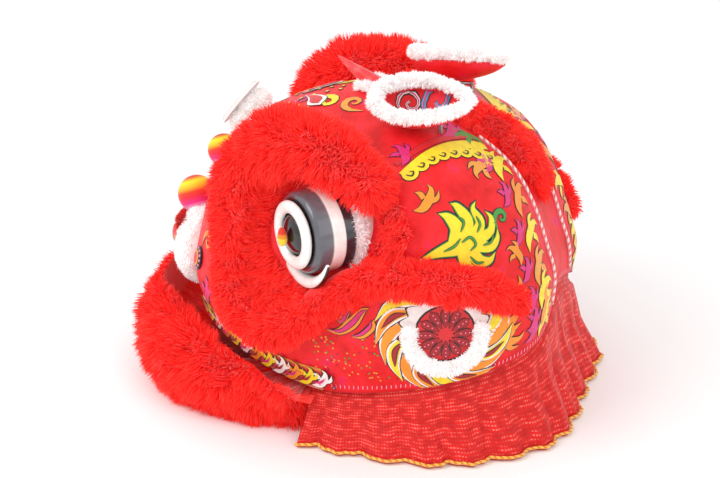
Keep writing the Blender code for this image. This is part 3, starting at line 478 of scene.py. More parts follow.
def paintPoints(piece, label, colours):  # a colour on each point, read by the material
    layer = piece.data.color_attributes.new(label, "FLOAT_COLOR", "POINT")
    layer.data.foreach_set("color", np.asarray(colours, np.float32).ravel())


def layFlat(piece, flatPoints):  # the cloth's own flat place of each point, in metres, as its UV map
    layer = piece.data.uv_layers.new(name="cloth")
    corners = np.empty(len(piece.data.loops), np.int32)
    piece.data.loops.foreach_get("vertex_index", corners)
    layer.data.foreach_set("uv", np.asarray(flatPoints, np.float32)[corners].ravel())


def gridQuads(rows, columns, wrap=False, start=0, turnOver=False):
    # faces of a grid of points: rows along, columns across, which may close on themselves
    across = columns if wrap else columns - 1
    i, j = np.meshgrid(np.arange(rows - 1), np.arange(across), indexing="ij")
    after = (j + 1) % columns
    quads = np.stack([i * columns + j, (i + 1) * columns + j, (i + 1) * columns + after, i * columns + after], -1)
    quads = quads.reshape(-1, 4) + start
    return quads[:, ::-1] if turnOver else quads


def endFans(rows, columns, total):  # triangles that close the two ends of a tube at two extra points
    j = np.arange(columns)
    after = (j + 1) % columns
    last = (rows - 1) * columns
    first = np.stack([j, after, np.full(columns, total)], -1)
    final = np.stack([last + after, last + j, np.full(columns, total + 1)], -1)
    return np.vstack([first, final])


def outwards(points, quads):  # true if the closed grid's volume is positive, so its faces point outwards
    a, b, c, d = (points[quads[:, k]] for k in range(4))
    return float((np.einsum("ij,ij->i", a, np.cross(b, c)) + np.einsum("ij,ij->i", a, np.cross(c, d))).sum()) > 0


def tubePiece(name, grid, **place):  # a closed tube from a grid of rings, each end closed at its middle
    rows, columns = grid.shape[:2]
    points = np.vstack([grid.reshape(-1, 3), grid[0].mean(0), grid[-1].mean(0)])
    quads = gridQuads(rows, columns, True)
    tris = endFans(rows, columns, rows * columns)
    if not outwards(points, quads):
        quads = quads[:, ::-1]
        tris = tris[:, ::-1]
    return makePiece(name, points, quads, tris, **place)


def ringPiece(name, grid, **place):  # a closed ring from a grid whose rows also close on themselves
    rows, columns = grid.shape[:2]
    grid = np.concatenate([grid, grid[:1]])
    quads = gridQuads(rows + 1, columns, True) % (rows * columns)
    points = grid[:-1].reshape(-1, 3)
    if not outwards(points, quads):
        quads = quads[:, ::-1]
    return makePiece(name, points, quads, **place)


def rollGrid(centres, ups, widths, heights, around, ring=False, caps=6):
    # a roll along a path: each row is an ellipse across the path, and an open end is rounded off by
    # rows that shrink as a circle does
    if ring:
        along = unit(np.roll(centres, -1, 0) - np.roll(centres, 1, 0))
    else:
        along = unit(np.gradient(centres, axis=0))
    side = unit(np.cross(along, ups))
    upward = np.cross(side, along)
    if not ring:
        angle = np.linspace(0, math.pi / 2, caps + 1)[1:]
        shrink = np.maximum(np.cos(angle), 0.04)
        first = centres[0] - along[0] * (np.sin(angle) * widths[0])[:, None]
        last = centres[-1] + along[-1] * (np.sin(angle) * widths[-1])[:, None]
        centres = np.vstack([first[::-1], centres, last])
        widths = np.concatenate([widths[0] * shrink[::-1], widths, widths[-1] * shrink])
        heights = np.concatenate([heights[0] * shrink[::-1], heights, heights[-1] * shrink])
        side = np.vstack([np.repeat(side[:1], caps, 0), side, np.repeat(side[-1:], caps, 0)])
        upward = np.vstack([np.repeat(upward[:1], caps, 0), upward, np.repeat(upward[-1:], caps, 0)])
    turn = np.arange(around) * 2 * math.pi / around
    across = widths[:, None] * np.cos(turn)
    rise = heights[:, None] * np.sin(turn)
    return centres[:, None] + side[:, None] * across[..., None] + upward[:, None] * rise[..., None]


def lumpy(grid, depth, size, seed):
    # each point moved along its row's outward direction by three crossed sines of the place
    rng = np.random.default_rng(seed)
    middle = grid.mean(1, keepdims=True)
    waves = np.zeros(grid.shape[:2])
    for _ in range(4):
        direction = rng.normal(size=3)
        waves += np.sin(grid @ unit(direction) * 2 * math.pi / size + rng.uniform(0, 6.28))
    return grid + unit(grid - middle) * (waves / 4 * depth)[..., None]


def scatter(grid, count, rng, ring=False):
    # random places on a grid of rings, as many to each square metre everywhere: cells are drawn by area
    grid = np.concatenate([grid, grid[:, :1]], 1)
    if ring:
        grid = np.concatenate([grid, grid[:1]], 0)
    a = grid[1:, :-1] - grid[:-1, :-1]
    b = grid[:-1, 1:] - grid[:-1, :-1]
    area = np.linalg.norm(np.cross(a, b), axis=-1)
    total = np.cumsum(area.ravel())
    cell = np.searchsorted(total, rng.uniform(0, total[-1], count))
    i, j = np.unravel_index(np.minimum(cell, area.size - 1), area.shape)
    s, t = rng.uniform(size=(2, count, 1))
    near = grid[i, j] * (1 - t) + grid[i, j + 1] * t
    far = grid[i + 1, j] * (1 - t) + grid[i + 1, j + 1] * t
    roots = near * (1 - s) + far * s
    middle = grid.mean(1)
    normals = unit(np.cross(a[i, j], b[i, j]))
    outward = roots - middle[i]
    sign = np.sign(np.einsum("ij,ij->i", normals, outward).sum())
    return roots, normals * sign, unit(a[i, j]), (i + s[:, 0]) / grid.shape[0]


def furPiece(name, roots, normals, flow, look, coat, body="root", slot="red_fur", seed=1, floor=None, size=None, shape=None):
    # thousands of tapered strands: each leaves along the cloth's normal leaned by the flow and by its
    # tuft's own lean, falls with the square of the way along, and its tip is drawn to its tuft's tip
    rng = np.random.default_rng(seed)
    count = len(roots)
    size = np.ones(count) if size is None else size
    tuft = np.floor((roots + 0.3 * coat["tuft"] * np.sin(roots[:, [1, 2, 0]] * 90)) / coat["tuft"]).astype(int)
    _, tuft = np.unique(tuft @ np.array([73856093, 19349663, 83492791]), return_inverse=True)
    tufts = tuft.max() + 1
    members = np.bincount(tuft, minlength=tufts)[:, None]
    centre = np.stack([np.bincount(tuft, roots[:, k], tufts) for k in range(3)], 1) / members
    outward = unit(np.stack([np.bincount(tuft, normals[:, k], tufts) for k in range(3)], 1) / members)
    lean = rng.normal(0, coat["wild"], (tufts, 3))
    tuftLength = coat["length"] * rng.uniform(0.82, 1.10, tufts) * np.bincount(tuft, size, tufts) / members[:, 0]
    tuftShade = rng.uniform(-0.06, 0.06, tufts)
    down = np.array([0.0, 0.0, -1.0])
    aim = unit(normals + flow * coat["lean"] + lean[tuft] + rng.normal(0, coat["stray"], (count, 3)))
    length = (tuftLength[tuft] * rng.uniform(0.70, 1.12, count))[:, None]
    tuftTip = centre + unit(outward + lean) * tuftLength[:, None] * 0.9
    tips = roots + aim * length + down * length * coat["droop"]
    tips = tips + (tuftTip[tuft] + down * length * coat["droop"] - tips) * coat["gather"]
    middles = roots + aim * length * 0.55 + down * length * coat["droop"] * 0.3
    middles = middles + ((roots + tips) / 2 - middles) * 0.35
    across = unit(np.cross(aim, normals + rng.normal(0, 0.35, (count, 3))))
    width = (coat["width"] * rng.uniform(0.7, 1.25, count))[:, None]
    edge = [roots - across * width / 2, roots + across * width / 2]
    edge += [middles - across * width * 0.42, middles + across * width * 0.42, tips]
    points = np.stack(edge, 1).reshape(-1, 3)
    if shape is not None:
        points = shape(points)
    if floor is not None:
        points[:, 2] = np.maximum(points[:, 2], floor + 0.0004)
    first = np.arange(count)[:, None] * 5
    quads = first + np.array([0, 1, 3, 2])
    tris = first + np.array([2, 3, 4])
    a = points[quads[:, 1]] - points[quads[:, 0]]
    b = points[quads[:, 3]] - points[quads[:, 0]]
    inward = (np.einsum("ij,ij->i", np.cross(a, b), normals) < 0)[:, None]
    quads = np.where(inward, quads[:, ::-1], quads)
    tris = np.where(inward, tris[:, ::-1], tris)
    piece = makePiece(name, points, quads, tris, body, slot, look)
    shade = np.clip(rng.normal(0.0, 0.12, count) + tuftShade[tuft], -0.4, 0.4)
    colours = np.ones((count, 5, 4))
    colours[..., 0] = 0.5 + shade[:, None]
    # painted shade: the way along is low at the root, so roots take the darker colours, as if shaded deep in the pile
    colours[..., 1] = np.array([0.06, 0.06, 0.38, 0.38, 0.74])
    paintPoints(piece, "strand", colours.reshape(-1, 4))
    return piece


def onCloth(anchor, x, y, lift, side):
    # the cloth point whose shadow on the anchor's tangent plane is (x, y): x runs to the back of the
    # head and y up it, found by repeated straight-line steps
    section, up = anchor
    step = 0.01
    base = shellPoint(section, up)
    alongS = (shellPoint(section + step, up) - shellPoint(section - step, up)) / (2 * step)
    alongU = (shellPoint(section, up + step) - shellPoint(section, up - step)) / (2 * step)
    normal = unit(np.cross(alongS, alongU))
    rise = unit(alongU)
    level = np.cross(rise, normal)
    inverse = np.linalg.inv(np.array([[alongS @ level, alongU @ level], [alongS @ rise, alongU @ rise]]))
    s = section + inverse[0, 0] * x + inverse[0, 1] * y
    u = np.clip(up + inverse[1, 0] * x + inverse[1, 1] * y, 0.003, 0.985)
    for _ in range(5):
        gone = shellPoint(s, u) - base
        missX = x - gone @ level
        missY = y - gone @ rise
        s = s + inverse[0, 0] * missX + inverse[0, 1] * missY
        u = np.clip(u + inverse[1, 0] * missX + inverse[1, 1] * missY, 0.003, 0.985)
    return (shellPoint(s, u) + shellNormal(s, u) * lift) * flipped(side)


# The padded head

def makeHead(around=180, rings=66):
    # the head's surface on a fine grid, with a second wall inside it, joined round the rim and at the crown
    section = np.arange(around) * 12 / around
    up = np.linspace(0, 1, rings + 1)[:-1]
    s, u = np.meshgrid(section, up, indexing="ij")
    outer = shellPoint(s, u)
    inner = outer - shellNormal(s, u) * headForm["wall"]
    inner[:, 0] = outer[:, 0] * np.array([0.988, 0.988, 1.0])
    rows = np.concatenate([inner[:, ::-1], outer], 1)
    count = rows.shape[1]
    crown = shellPoint(0.0, 1.0)
    points = np.vstack([rows.reshape(-1, 3), crown - np.array([0, 0, headForm["wall"]]), crown])
    quads = gridQuads(around + 1, count) % (around * count)
    i = np.arange(around)
    after = (i + 1) % around
    inside = np.stack([i * count, np.full(around, around * count), after * count], -1)
    outside = np.stack([i * count + count - 1, after * count + count - 1, np.full(around, around * count + 1)], -1)
    piece = makePiece("paddedHead", points, quads, np.vstack([inside, outside]))
    piece.data.materials.append(looks["lining"])
    column = np.tile(np.arange(count - 1), around)
    lined = np.concatenate([column < rings, np.ones(around, bool), np.zeros(around, bool)])
    piece.data.polygons.foreach_set("material_index", lined.astype(np.int32))
    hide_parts("shell")
    return piece


makeHead()
print("head made")

# Screen prints: every motif is a few brush strokes in shares of its own size, with a dark edge under each

inks = {
    "black": "#1C1418", "yellow": "#F9E11E", "orange": "#F8961C", "white": "#FBF4F0", "magenta": "#E2207C",
    "green": "#3E9A3A", "cyan": "#2CB4E2", "gold": "#EFA030", "red": "#DC1C24", "deep": "#A80E1C",
    "pink": "#F58AA6", "rose": "#F05668",
}
printLift = 0.0005


def newSheet():
    return {"points": [], "quads": [], "inks": [], "count": 0}


def addPatch(sheet, grid, ink, turnOver):  # one grid of points joins a sheet of print in one ink
    rows, columns = grid.shape[:2]
    sheet["quads"].append(gridQuads(rows, columns, start=sheet["count"], turnOver=turnOver))
    sheet["points"].append(grid.reshape(-1, 3))
    sheet["inks"].append(np.tile(linear(inks[ink]), (rows * columns, 1)))
    sheet["count"] += rows * columns


def strokeGrid(knots, size, grow, count=15, across=3):
    # a brush stroke: a smooth line through its knots, and across it a half width that swells and tapers;
    # an edge is the same stroke grown all round
    knots = np.asarray(knots, float) * size
    place = np.linspace(0, len(knots) - 1, count)
    rows = smoothRows(knots, place)
    along = unit(np.gradient(rows[:, :2], axis=0))
    end = np.abs(np.linspace(-1, 1, count))
    half = np.maximum(rows[:, 2], 0.0003) + grow * (1 - end**6)
    line = rows[:, :2].copy()
    line[0] -= along[0] * grow
    line[-1] += along[-1] * grow
    normal = np.stack([-along[:, 1], along[:, 0]], -1)
    reach = np.linspace(-1, 1, across)[None, :, None]
    return line[:, None] + normal[:, None] * half[:, None, None] * reach


def printStroke(sheet, anchor, side, knots, size, fill, edge=0.0014, edgeInk="black", layer=1, where=None):
    # a stroke's edge lies one layer under its fill
    put = where or (lambda x, y, lift: onCloth(anchor, x, y, lift, side))
    if edge:
        grid = strokeGrid(knots, size, edge)
        addPatch(sheet, put(grid[..., 0], grid[..., 1], printLift * layer), edgeInk, side < 0)
    grid = strokeGrid(knots, size, 0.0)
    addPatch(sheet, put(grid[..., 0], grid[..., 1], printLift * (layer + 1)), fill, side < 0)


def printRing(sheet, anchor, side, inner, outer, fill, layer, spot=(0.0, 0.0), around=28, where=None):
    # a flat ring or disc: the distance from its middle one way and the angle the other
    put = where or (lambda x, y, lift: onCloth(anchor, x, y, lift, side))
    r, a = np.meshgrid(np.linspace(inner, outer, 4), np.linspace(0, 2 * math.pi, around + 1), indexing="ij")
    grid = put(spot[0] + r * np.cos(a), spot[1] + r * np.sin(a), printLift * layer)
    addPatch(sheet, grid, fill, side < 0)


# strokes are knots of x, y and half width as shares of the motif's size; x runs to the back, y up
motifs = {
    "flame": (
        ((-0.50, -0.13, 0.00), (-0.28, -0.06, 0.05), (-0.05, -0.02, 0.10), (0.20, 0.02, 0.11), (0.36, 0.06, 0.04)),
        ((-0.08, 0.02, 0.07), (-0.02, 0.18, 0.08), (-0.10, 0.32, 0.05), (-0.20, 0.38, 0.00)),
        ((0.06, 0.05, 0.08), (0.12, 0.25, 0.07), (0.03, 0.42, 0.04), (-0.04, 0.47, 0.00)),
        ((0.18, 0.05, 0.08), (0.28, 0.20, 0.06), (0.22, 0.36, 0.03), (0.27, 0.44, 0.00)),
        ((0.22, 0.02, 0.07), (0.40, 0.08, 0.05), (0.44, 0.22, 0.03), (0.38, 0.31, 0.00)),
        ((0.20, -0.04, 0.08), (0.38, -0.10, 0.05), (0.48, -0.02, 0.03), (0.50, 0.09, 0.00)),
        ((0.10, -0.06, 0.08), (0.20, -0.22, 0.07), (0.34, -0.25, 0.04), (0.43, -0.17, 0.00)),
        ((0.02, -0.06, 0.08), (0.04, -0.24, 0.06), (0.16, -0.35, 0.04), (0.28, -0.36, 0.00)),
    ),
    "curls": (
        ((0.02, 0.02, 0.008), (0.12, 0.06, 0.012), (0.18, -0.03, 0.012), (0.11, -0.09, 0.006)),
        ((0.02, 0.14, 0.006), (0.07, 0.24, 0.012), (0.01, 0.31, 0.006)),
        ((0.22, 0.10, 0.006), (0.27, 0.18, 0.012), (0.24, 0.27, 0.006)),
        ((0.28, -0.06, 0.006), (0.38, -0.04, 0.012), (0.42, 0.03, 0.006)),
        ((0.10, -0.16, 0.006), (0.17, -0.24, 0.012), (0.26, -0.25, 0.006)),
        ((-0.20, -0.05, 0.006), (-0.08, -0.01, 0.012), (0.0, 0.06, 0.006)),
    ),
    "leaf": (
        ((-0.50, -0.10, 0.00), (-0.24, -0.14, 0.07), (0.06, 0.02, 0.11), (0.30, 0.24, 0.06), (0.44, 0.30, 0.00)),
        ((-0.30, 0.16, 0.00), (-0.16, 0.08, 0.06), (-0.04, 0.24, 0.07), (0.06, 0.42, 0.00)),
        ((0.00, -0.26, 0.00), (0.20, -0.24, 0.06), (0.44, -0.08, 0.07), (0.50, 0.06, 0.00)),
    ),
    "tongue": (
        ((-0.50, -0.20, 0.00), (-0.20, -0.24, 0.13), (0.10, -0.04, 0.14), (0.28, 0.24, 0.07), (0.22, 0.44, 0.00)),
        ((-0.06, 0.04, 0.08), (-0.10, 0.22, 0.08), (-0.24, 0.34, 0.00)),
        ((0.10, -0.14, 0.07), (0.34, -0.10, 0.07), (0.50, 0.12, 0.00)),
    ),
    "scroll": (
        (
            (-0.46, -0.30, 0.00), (-0.30, 0.06, 0.07), (-0.02, 0.22, 0.10), (0.24, 0.10, 0.10),
            (0.26, -0.14, 0.08), (0.06, -0.22, 0.06), (-0.04, -0.06, 0.04), (0.06, 0.01, 0.0),
        ),
    ),
    "swirl": (
        (
            (0.50, 0.02, 0.05), (0.30, 0.42, 0.06), (-0.14, 0.46, 0.06), (-0.42, 0.12, 0.06), (-0.30, -0.28, 0.06),
            (0.04, -0.34, 0.06), (0.22, -0.10, 0.06), (0.08, 0.14, 0.05), (-0.10, 0.04, 0.04),
        ),
    ),
}


def turnedKnots(knots, angle, flip=1.0):  # a motif's knots turned about its middle, or mirrored first
    knots = np.asarray(knots, float) * np.array([1.0, flip, 1.0])
    c, s = math.cos(angle), math.sin(angle)
    return np.stack([knots[:, 0] * c - knots[:, 1] * s, knots[:, 0] * s + knots[:, 1] * c, knots[:, 2]], 1)


def printMotif(sheet, name, anchor, side, size, fill, angle=0.0, flip=1.0, layer=1, edgeInk="black", where=None):
    for knots in motifs[name]:
        printStroke(
            sheet, anchor, side, turnedKnots(knots, angle, flip), size, fill, 0.0015, edgeInk, layer, where
        )


cheekWheel = {
    "anchor": (4.05, 0.306),
    "disc": 0.043,
    "pods": 12,
    "scales": 17,
    "scaleFrom": 0.066,
    "scaleTo": 0.106,
}


def printWheel(sheet, side):
    # a disc with pods like spokes, and flame scales that swirl round it: each stroke is one stroke turned
    look = cheekWheel
    anchor = look["anchor"]
    printRing(sheet, anchor, side, 0.0, 0.068, "white", 1)
    printRing(sheet, anchor, side, 0.0, 0.046, "black", 1.5)
    printRing(sheet, anchor, side, 0.0, look["disc"], "red", 2)
    for k in range(look["pods"]):
        angle = 2 * math.pi * k / look["pods"]
        pod = turnedKnots(((0.28, 0, 0.02), (0.55, 0, 0.11), (0.80, 0, 0.13), (0.95, 0, 0.0)), angle)
        printStroke(sheet, anchor, side, pod, look["disc"], "deep", 0.0014, "black", 3)
        for reach in (0.52, 0.68, 0.82):
            spot = (math.cos(angle) * reach * look["disc"], math.sin(angle) * reach * look["disc"])
            printRing(sheet, anchor, side, 0.0, 0.0012, "pink", 6, spot, 8)
    for k in range(look["scales"]):
        angle = 2 * math.pi * k / look["scales"]
        steps = np.linspace(0, 1, 4)
        reach = look["scaleFrom"] + (look["scaleTo"] - look["scaleFrom"]) * steps * (1 - 0.08 * steps)
        swing = angle + 0.75 * steps**1.3
        half = 0.0105 * np.array([0.7, 1.0, 0.72, 0.0])
        knots = np.stack([reach * np.cos(swing), reach * np.sin(swing), half], 1)
        printStroke(sheet, anchor, side, knots, 1.0, "white", 0.0016, "black", 1 + (k % 2) * 2)
        inner = knots * np.array([1.0, 1.0, 0.70])
        printStroke(sheet, anchor, side, inner, 1.0, "orange" if k % 3 else "yellow", 0.0, "black", 2 + (k % 2) * 2)
        core = np.stack([
            reach[:3] * np.cos(swing[:3] + 0.02), reach[:3] * np.sin(swing[:3] + 0.02),
            np.array([0.0006, 0.0034, 0.0004]),
        ], 1)
        if k % 2:
            printStroke(sheet, anchor, side, core, 1.0, "deep", 0.0012, "black", 6)


def printBand(sheet, side):  # a scalloped yellow band under the ear, each scallop with a dark curl
    anchor = (4.48, 0.745)
    line = ((-0.080, -0.012, 0.008), (-0.03, 0.004, 0.010), (0.02, 0.012, 0.010), (0.080, 0.010, 0.008))
    printStroke(sheet, anchor, side, line, 1.0, "yellow", 0.0015, "black", 1)
    for k in range(8):
        x = -0.070 + 0.020 * k
        y = -0.020 + 0.020 * math.sin((k + 1) * 0.36)
        printRing(sheet, anchor, side, 0.0, 0.0132, "black", 1, (x, y), 18)
        printRing(sheet, anchor, side, 0.0, 0.0118, "yellow", 2, (x, y), 18)
        curl = np.array(((-0.6, 0.0, 0.06), (0.0, -0.55, 0.12), (0.5, 0.0, 0.10), (0.0, 0.25, 0.05)))
        printStroke(sheet, anchor, side, curl * 0.010 + np.array([x, y, 0.0]), 1.0, "black", 0.0, "black", 3)
    top = ((-0.080, 0.012, 0.004), (0.0, 0.030, 0.006), (0.080, 0.030, 0.004))
    printStroke(sheet, anchor, side, top, 1.0, "red", 0.001, "deep", 1)


def printDots(sheet, side, anchor, spread, count, seed):  # small dots thrown over a patch of the cheek
    rng = np.random.default_rng(seed)
    for x, y, pick in rng.uniform(-1, 1, (count, 3)):
        ink = ("green", "orange", "deep", "gold")[int((pick + 1) * 1.999)]
        printRing(sheet, anchor, side, 0.0, 0.0017, ink, 1, (x * spread[0], y * spread[1]), 8)


def printLip(sheet, side):  # flames along the padded upper lip, from the muzzle to the mouth corner
    for k, section in enumerate(np.arange(1.14, 3.10, 0.165)):
        anchor = (section, 0.062)

        def onLip(x, y, lift):
            return onCloth(anchor, x, y, lift + 0.0040, side)

        fill = ("orange", "yellow", "white")[k % 3]
        printMotif(sheet, "tongue", anchor, side, 0.042, fill, 0.35, 1.0, 1, "black", onLip)
        core = np.array(((-0.36, -0.20, 0.01), (-0.05, -0.14, 0.055), (0.18, 0.12, 0.0)))
        printStroke(sheet, anchor, side, core, 0.042, ("deep", "magenta")[k % 2], 0.0, "black", 3, onLip)
        printRing(sheet, anchor, side, 0.0, 0.0034, "black", 2, (0.020, -0.012), 12, onLip)
        printRing(sheet, anchor, side, 0.0, 0.0016, "pink", 3, (0.020, -0.012), 10, onLip)


def printBack(sheet, side):  # flame strokes stacked up each side of the back, outside the piping
    for k, up in enumerate(np.linspace(0.12, 0.66, 7)):
        fill = ("yellow", "orange", "yellow", "gold")[k % 4]
        printMotif(sheet, "tongue", (5.28, up), side, 0.062, fill, 1.2 + 0.25 * (k % 2), -1.0, 1)
        printMotif(sheet, "tongue", (4.98, up + 0.03), side, 0.040, "magenta", 0.5, 1.0, 1)


def printFace(sheet, side):  # yellow scrolls, red drops edged white, and beads down the forehead
    for section, up, size, angle, fill in (
        (0.95, 0.80, 0.075, 0.3, "yellow"), (0.70, 0.70, 0.060, 2.0, "yellow"), (1.25, 0.88, 0.060, 1.0, "yellow"),
        (0.52, 0.60, 0.050, 1.2, "orange"), (0.50, 0.83, 0.050, 2.6, "magenta"),
    ):
        printMotif(sheet, "scroll", (section, up), side, size, fill, angle)
    drop = ((-0.5, 0.0, 0.0), (-0.1, 0.05, 0.14), (0.25, 0.0, 0.26), (0.5, -0.05, 0.0))
    for section, up, size, angle in ((0.75, 0.86, 0.050, 0.4), (0.40, 0.70, 0.040, 1.5), (0.95, 0.66, 0.044, 2.2)):
        knots = turnedKnots(drop, angle)
        printStroke(sheet, (section, up), side, knots, size * 1.25, "white", 0.0014, "black", 3)
        printStroke(sheet, (section, up), side, knots * np.array([1, 1, 0.8]), size, "red", 0.0, "black", 5)
    for up in np.linspace(0.44, 0.92, 17):
        printRing(sheet, (0.30, up), side, 0.0, 0.0044, "black", 2, around=12)
        printRing(sheet, (0.30, up), side, 0.0, 0.0028, "yellow", 3, around=12)


def printCrown(sheet, side):  # scrolls and tongues on the crown, down the nose's sides and over the front cheek
    for name, section, up, size, angle, fill in (
        ("scroll", 5.30, 0.94, 0.060, 0.8, "yellow"), ("tongue", 4.30, 0.88, 0.050, 2.4, "orange"),
        ("scroll", 2.50, 0.90, 0.056, 2.2, "gold"), ("tongue", 1.30, 0.52, 0.052, 1.7, "yellow"),
        ("scroll", 1.15, 0.42, 0.050, 0.2, "orange"), ("tongue", 1.30, 0.24, 0.050, 0.6, "magenta"),
        ("tongue", 1.75, 0.17, 0.046, 0.3, "yellow"), ("scroll", 0.42, 0.50, 0.040, 1.4, "yellow"),
        ("tongue", 3.95, 0.64, 0.046, 0.2, "orange"), ("tongue", 3.80, 0.76, 0.044, 1.0, "magenta"),
        ("scroll", 4.75, 0.56, 0.040, 0.6, "green"), ("tongue", 4.86, 0.47, 0.040, 1.5, "orange"),
    ):
        printMotif(sheet, name, (section, up), side, size, fill, angle)


def printRim(sheet, side):  # a pale stitched line a little above the rim, from the mouth corner to the back
    for section in np.arange(3.05, 5.98, 0.042):
        tick = ((0.0, -0.0035, 0.0007), (0.0005, 0.0, 0.0009), (0.0, 0.0035, 0.0007))
        printStroke(sheet, (section, 0.030), side, tick, 1.0, "pink", 0.0, "black", 1)


def makePrints():
    for big, small, side in sides:
        sheet = newSheet()
        printWheel(sheet, side)
        for knots in motifs["flame"]:
            printStroke(sheet, (4.24, 0.530), side, knots, 0.130, "green", 0.0036, "black", 0.4)
        printMotif(sheet, "flame", (4.24, 0.530), side, 0.128, "yellow", edgeInk="green")
        for knots in motifs["curls"]:
            printStroke(sheet, (4.24, 0.530), side, knots, 0.130, "green", 0.0008, "black", 3)
        printMotif(sheet, "leaf", (3.24, 0.330), side, 0.078, "orange", 0.2)
        for knots in motifs["leaf"]:
            core = np.asarray(knots) * np.array([0.9, 0.9, 0.42])
            printStroke(sheet, (3.24, 0.330), side, turnedKnots(core, 0.2), 0.078, "magenta", 0.001, "black", 3)
        printDots(sheet, side, (3.34, 0.20), (0.080, 0.042), 110, 7)
        printBand(sheet, side)
        for k, (section, up, fill) in enumerate((
            (4.98, 0.80, "magenta"), (5.05, 0.72, "yellow"), (5.20, 0.76, "green"), (4.84, 0.68, "gold"),
        )):
            printMotif(sheet, "tongue", (section, up), side, 0.052, fill, 0.9 * k)
        for section, up, angle in ((4.62, 0.30, -0.5), (4.74, 0.38, -0.1), (4.66, 0.20, -0.9)):
            printMotif(sheet, "tongue", (section, up), side, 0.058, "orange", angle)
        printBack(sheet, side)
        printFace(sheet, side)
        printLip(sheet, side)
        printRim(sheet, side)
        printCrown(sheet, side)
        piece = makePiece(
            f"clothPrint{big}", np.vstack(sheet["points"]), np.vstack(sheet["quads"]), look="print"
        )
        paintPoints(piece, "ink", np.vstack(sheet["inks"]))


makePrints()
print("prints laid")

# Deep fur

furCoats = {
    "brow": {"length": 0.031, "lean": 0.55, "wild": 0.26, "stray": 0.20, "droop": 0.12, "gather": 0.28,
             "width": 0.0022, "tuft": 0.019},
    "jaw": {"length": 0.033, "lean": 0.55, "wild": 0.28, "stray": 0.20, "droop": 0.14, "gather": 0.30,
            "width": 0.0024, "tuft": 0.021},
    "mane": {"length": 0.024, "lean": 0.50, "wild": 0.30, "stray": 0.20, "droop": 0.15, "gather": 0.34,
             "width": 0.0020, "tuft": 0.017},
    "socket": {"length": 0.030, "lean": 0.60, "wild": 0.22, "stray": 0.22, "droop": 0.08, "gather": 0.25,
               "width": 0.0025, "tuft": 0.016},
    "plush": {"length": 0.010, "lean": 0.50, "wild": 0.26, "stray": 0.28, "droop": 0.10, "gather": 0.30,
              "width": 0.0014, "tuft": 0.009},
    "rim": {"length": 0.013, "lean": 0.45, "wild": 0.28, "stray": 0.30, "droop": 0.12, "gather": 0.30,
            "width": 0.0015, "tuft": 0.010},
    "lash": {"length": 0.020, "lean": 0.50, "wild": 0.25, "stray": 0.25, "droop": 0.20, "gather": 0.30,
             "width": 0.0013, "tuft": 0.010},
}
browFur = {
    "radius": 0.058,
    "bed": 0.70,
    "strands": 29500,
    "socketStrands": 11000,
    # section, up, radius as a share
    "path": (
        (4.75, 0.36, 0.30), (4.45, 0.42, 0.44), (4.00, 0.46, 0.48), (3.50, 0.465, 0.46), (3.12, 0.42, 0.48),
        (2.75, 0.33, 0.52), (2.40, 0.29, 0.56), (2.05, 0.34, 0.56), (1.86, 0.48, 0.58), (1.72, 0.64, 0.76),
        (2.15, 0.71, 1.00), (2.95, 0.70, 0.96), (3.45, 0.655, 0.64),
    ),
    "eyeClear": 0.088,
}


def hangingFlow(normals, along, rng, swing=0.5):
    # the way the pile lies: downhill along the cloth, with a share to either side along the roll
    down = np.array([0.0, 0.0, -1.0]) - normals * normals[:, 2:] * -1.0
    sideways = along * rng.normal(0, swing, (len(normals), 1))
    return down * 0.7 + sideways


def clearOfEye(points, side):  # true outside the round space that each eye's drum stands in
    away = points - eyeFront * flipped(side)
    axis = eyeAxis * flipped(side)
    across = away - (away @ axis)[..., None] * axis
    return np.linalg.norm(across, axis=-1) > browFur["eyeClear"]


def makeBrow(big, small, side):
    look = browFur
    rows = smoothRows(np.array(look["path"]), np.linspace(0, len(look["path"]) - 1, 120))
    seat = shellPoint(rows[:, 0], rows[:, 1]) * flipped(side)
    normal = shellNormal(rows[:, 0], rows[:, 1]) * flipped(side)
    radius = rows[:, 2] * look["radius"]
    centres = seat + normal * radius[:, None] * 0.55
    bed = lumpy(rollGrid(centres, normal, radius * look["bed"], radius * look["bed"], 32), 0.003, 0.045, 3)
    pad = tubePiece(f"browPad{big}", bed, slot="red_fur", look="redFur")
    # painted shade: the pad takes a strand tone darker than the strands' middle, as seen down in the pile
    colour = np.tile((0.6, 0.16, 0.5, 1.0), (len(pad.data.vertices), 1))
    paintPoints(pad, "strand", colour)
    rng = np.random.default_rng(11)
    roots, normals, along, place = scatter(bed, int(look["strands"] * 1.7), rng)
    row = np.clip((place * len(bed) - 6).astype(int), 0, len(rows) - 1)
    above = np.einsum("ij,ij->i", roots - seat[row], normal[row])
    keep = (above > 0.001) & clearOfEye(roots + normals * 0.012, side)
    keep = np.flatnonzero(keep)[:look["strands"]]
    roots, normals, along, row = roots[keep], normals[keep], along[keep], row[keep]
    flow = hangingFlow(normals, along, rng)
    size = 0.34 + 0.68 * rows[row, 2]
    piece = furPiece(f"browFur{big}", roots, normals, flow, "redFur", furCoats["brow"], seed=21, size=size)
    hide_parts(f"brow_fur_{small}")


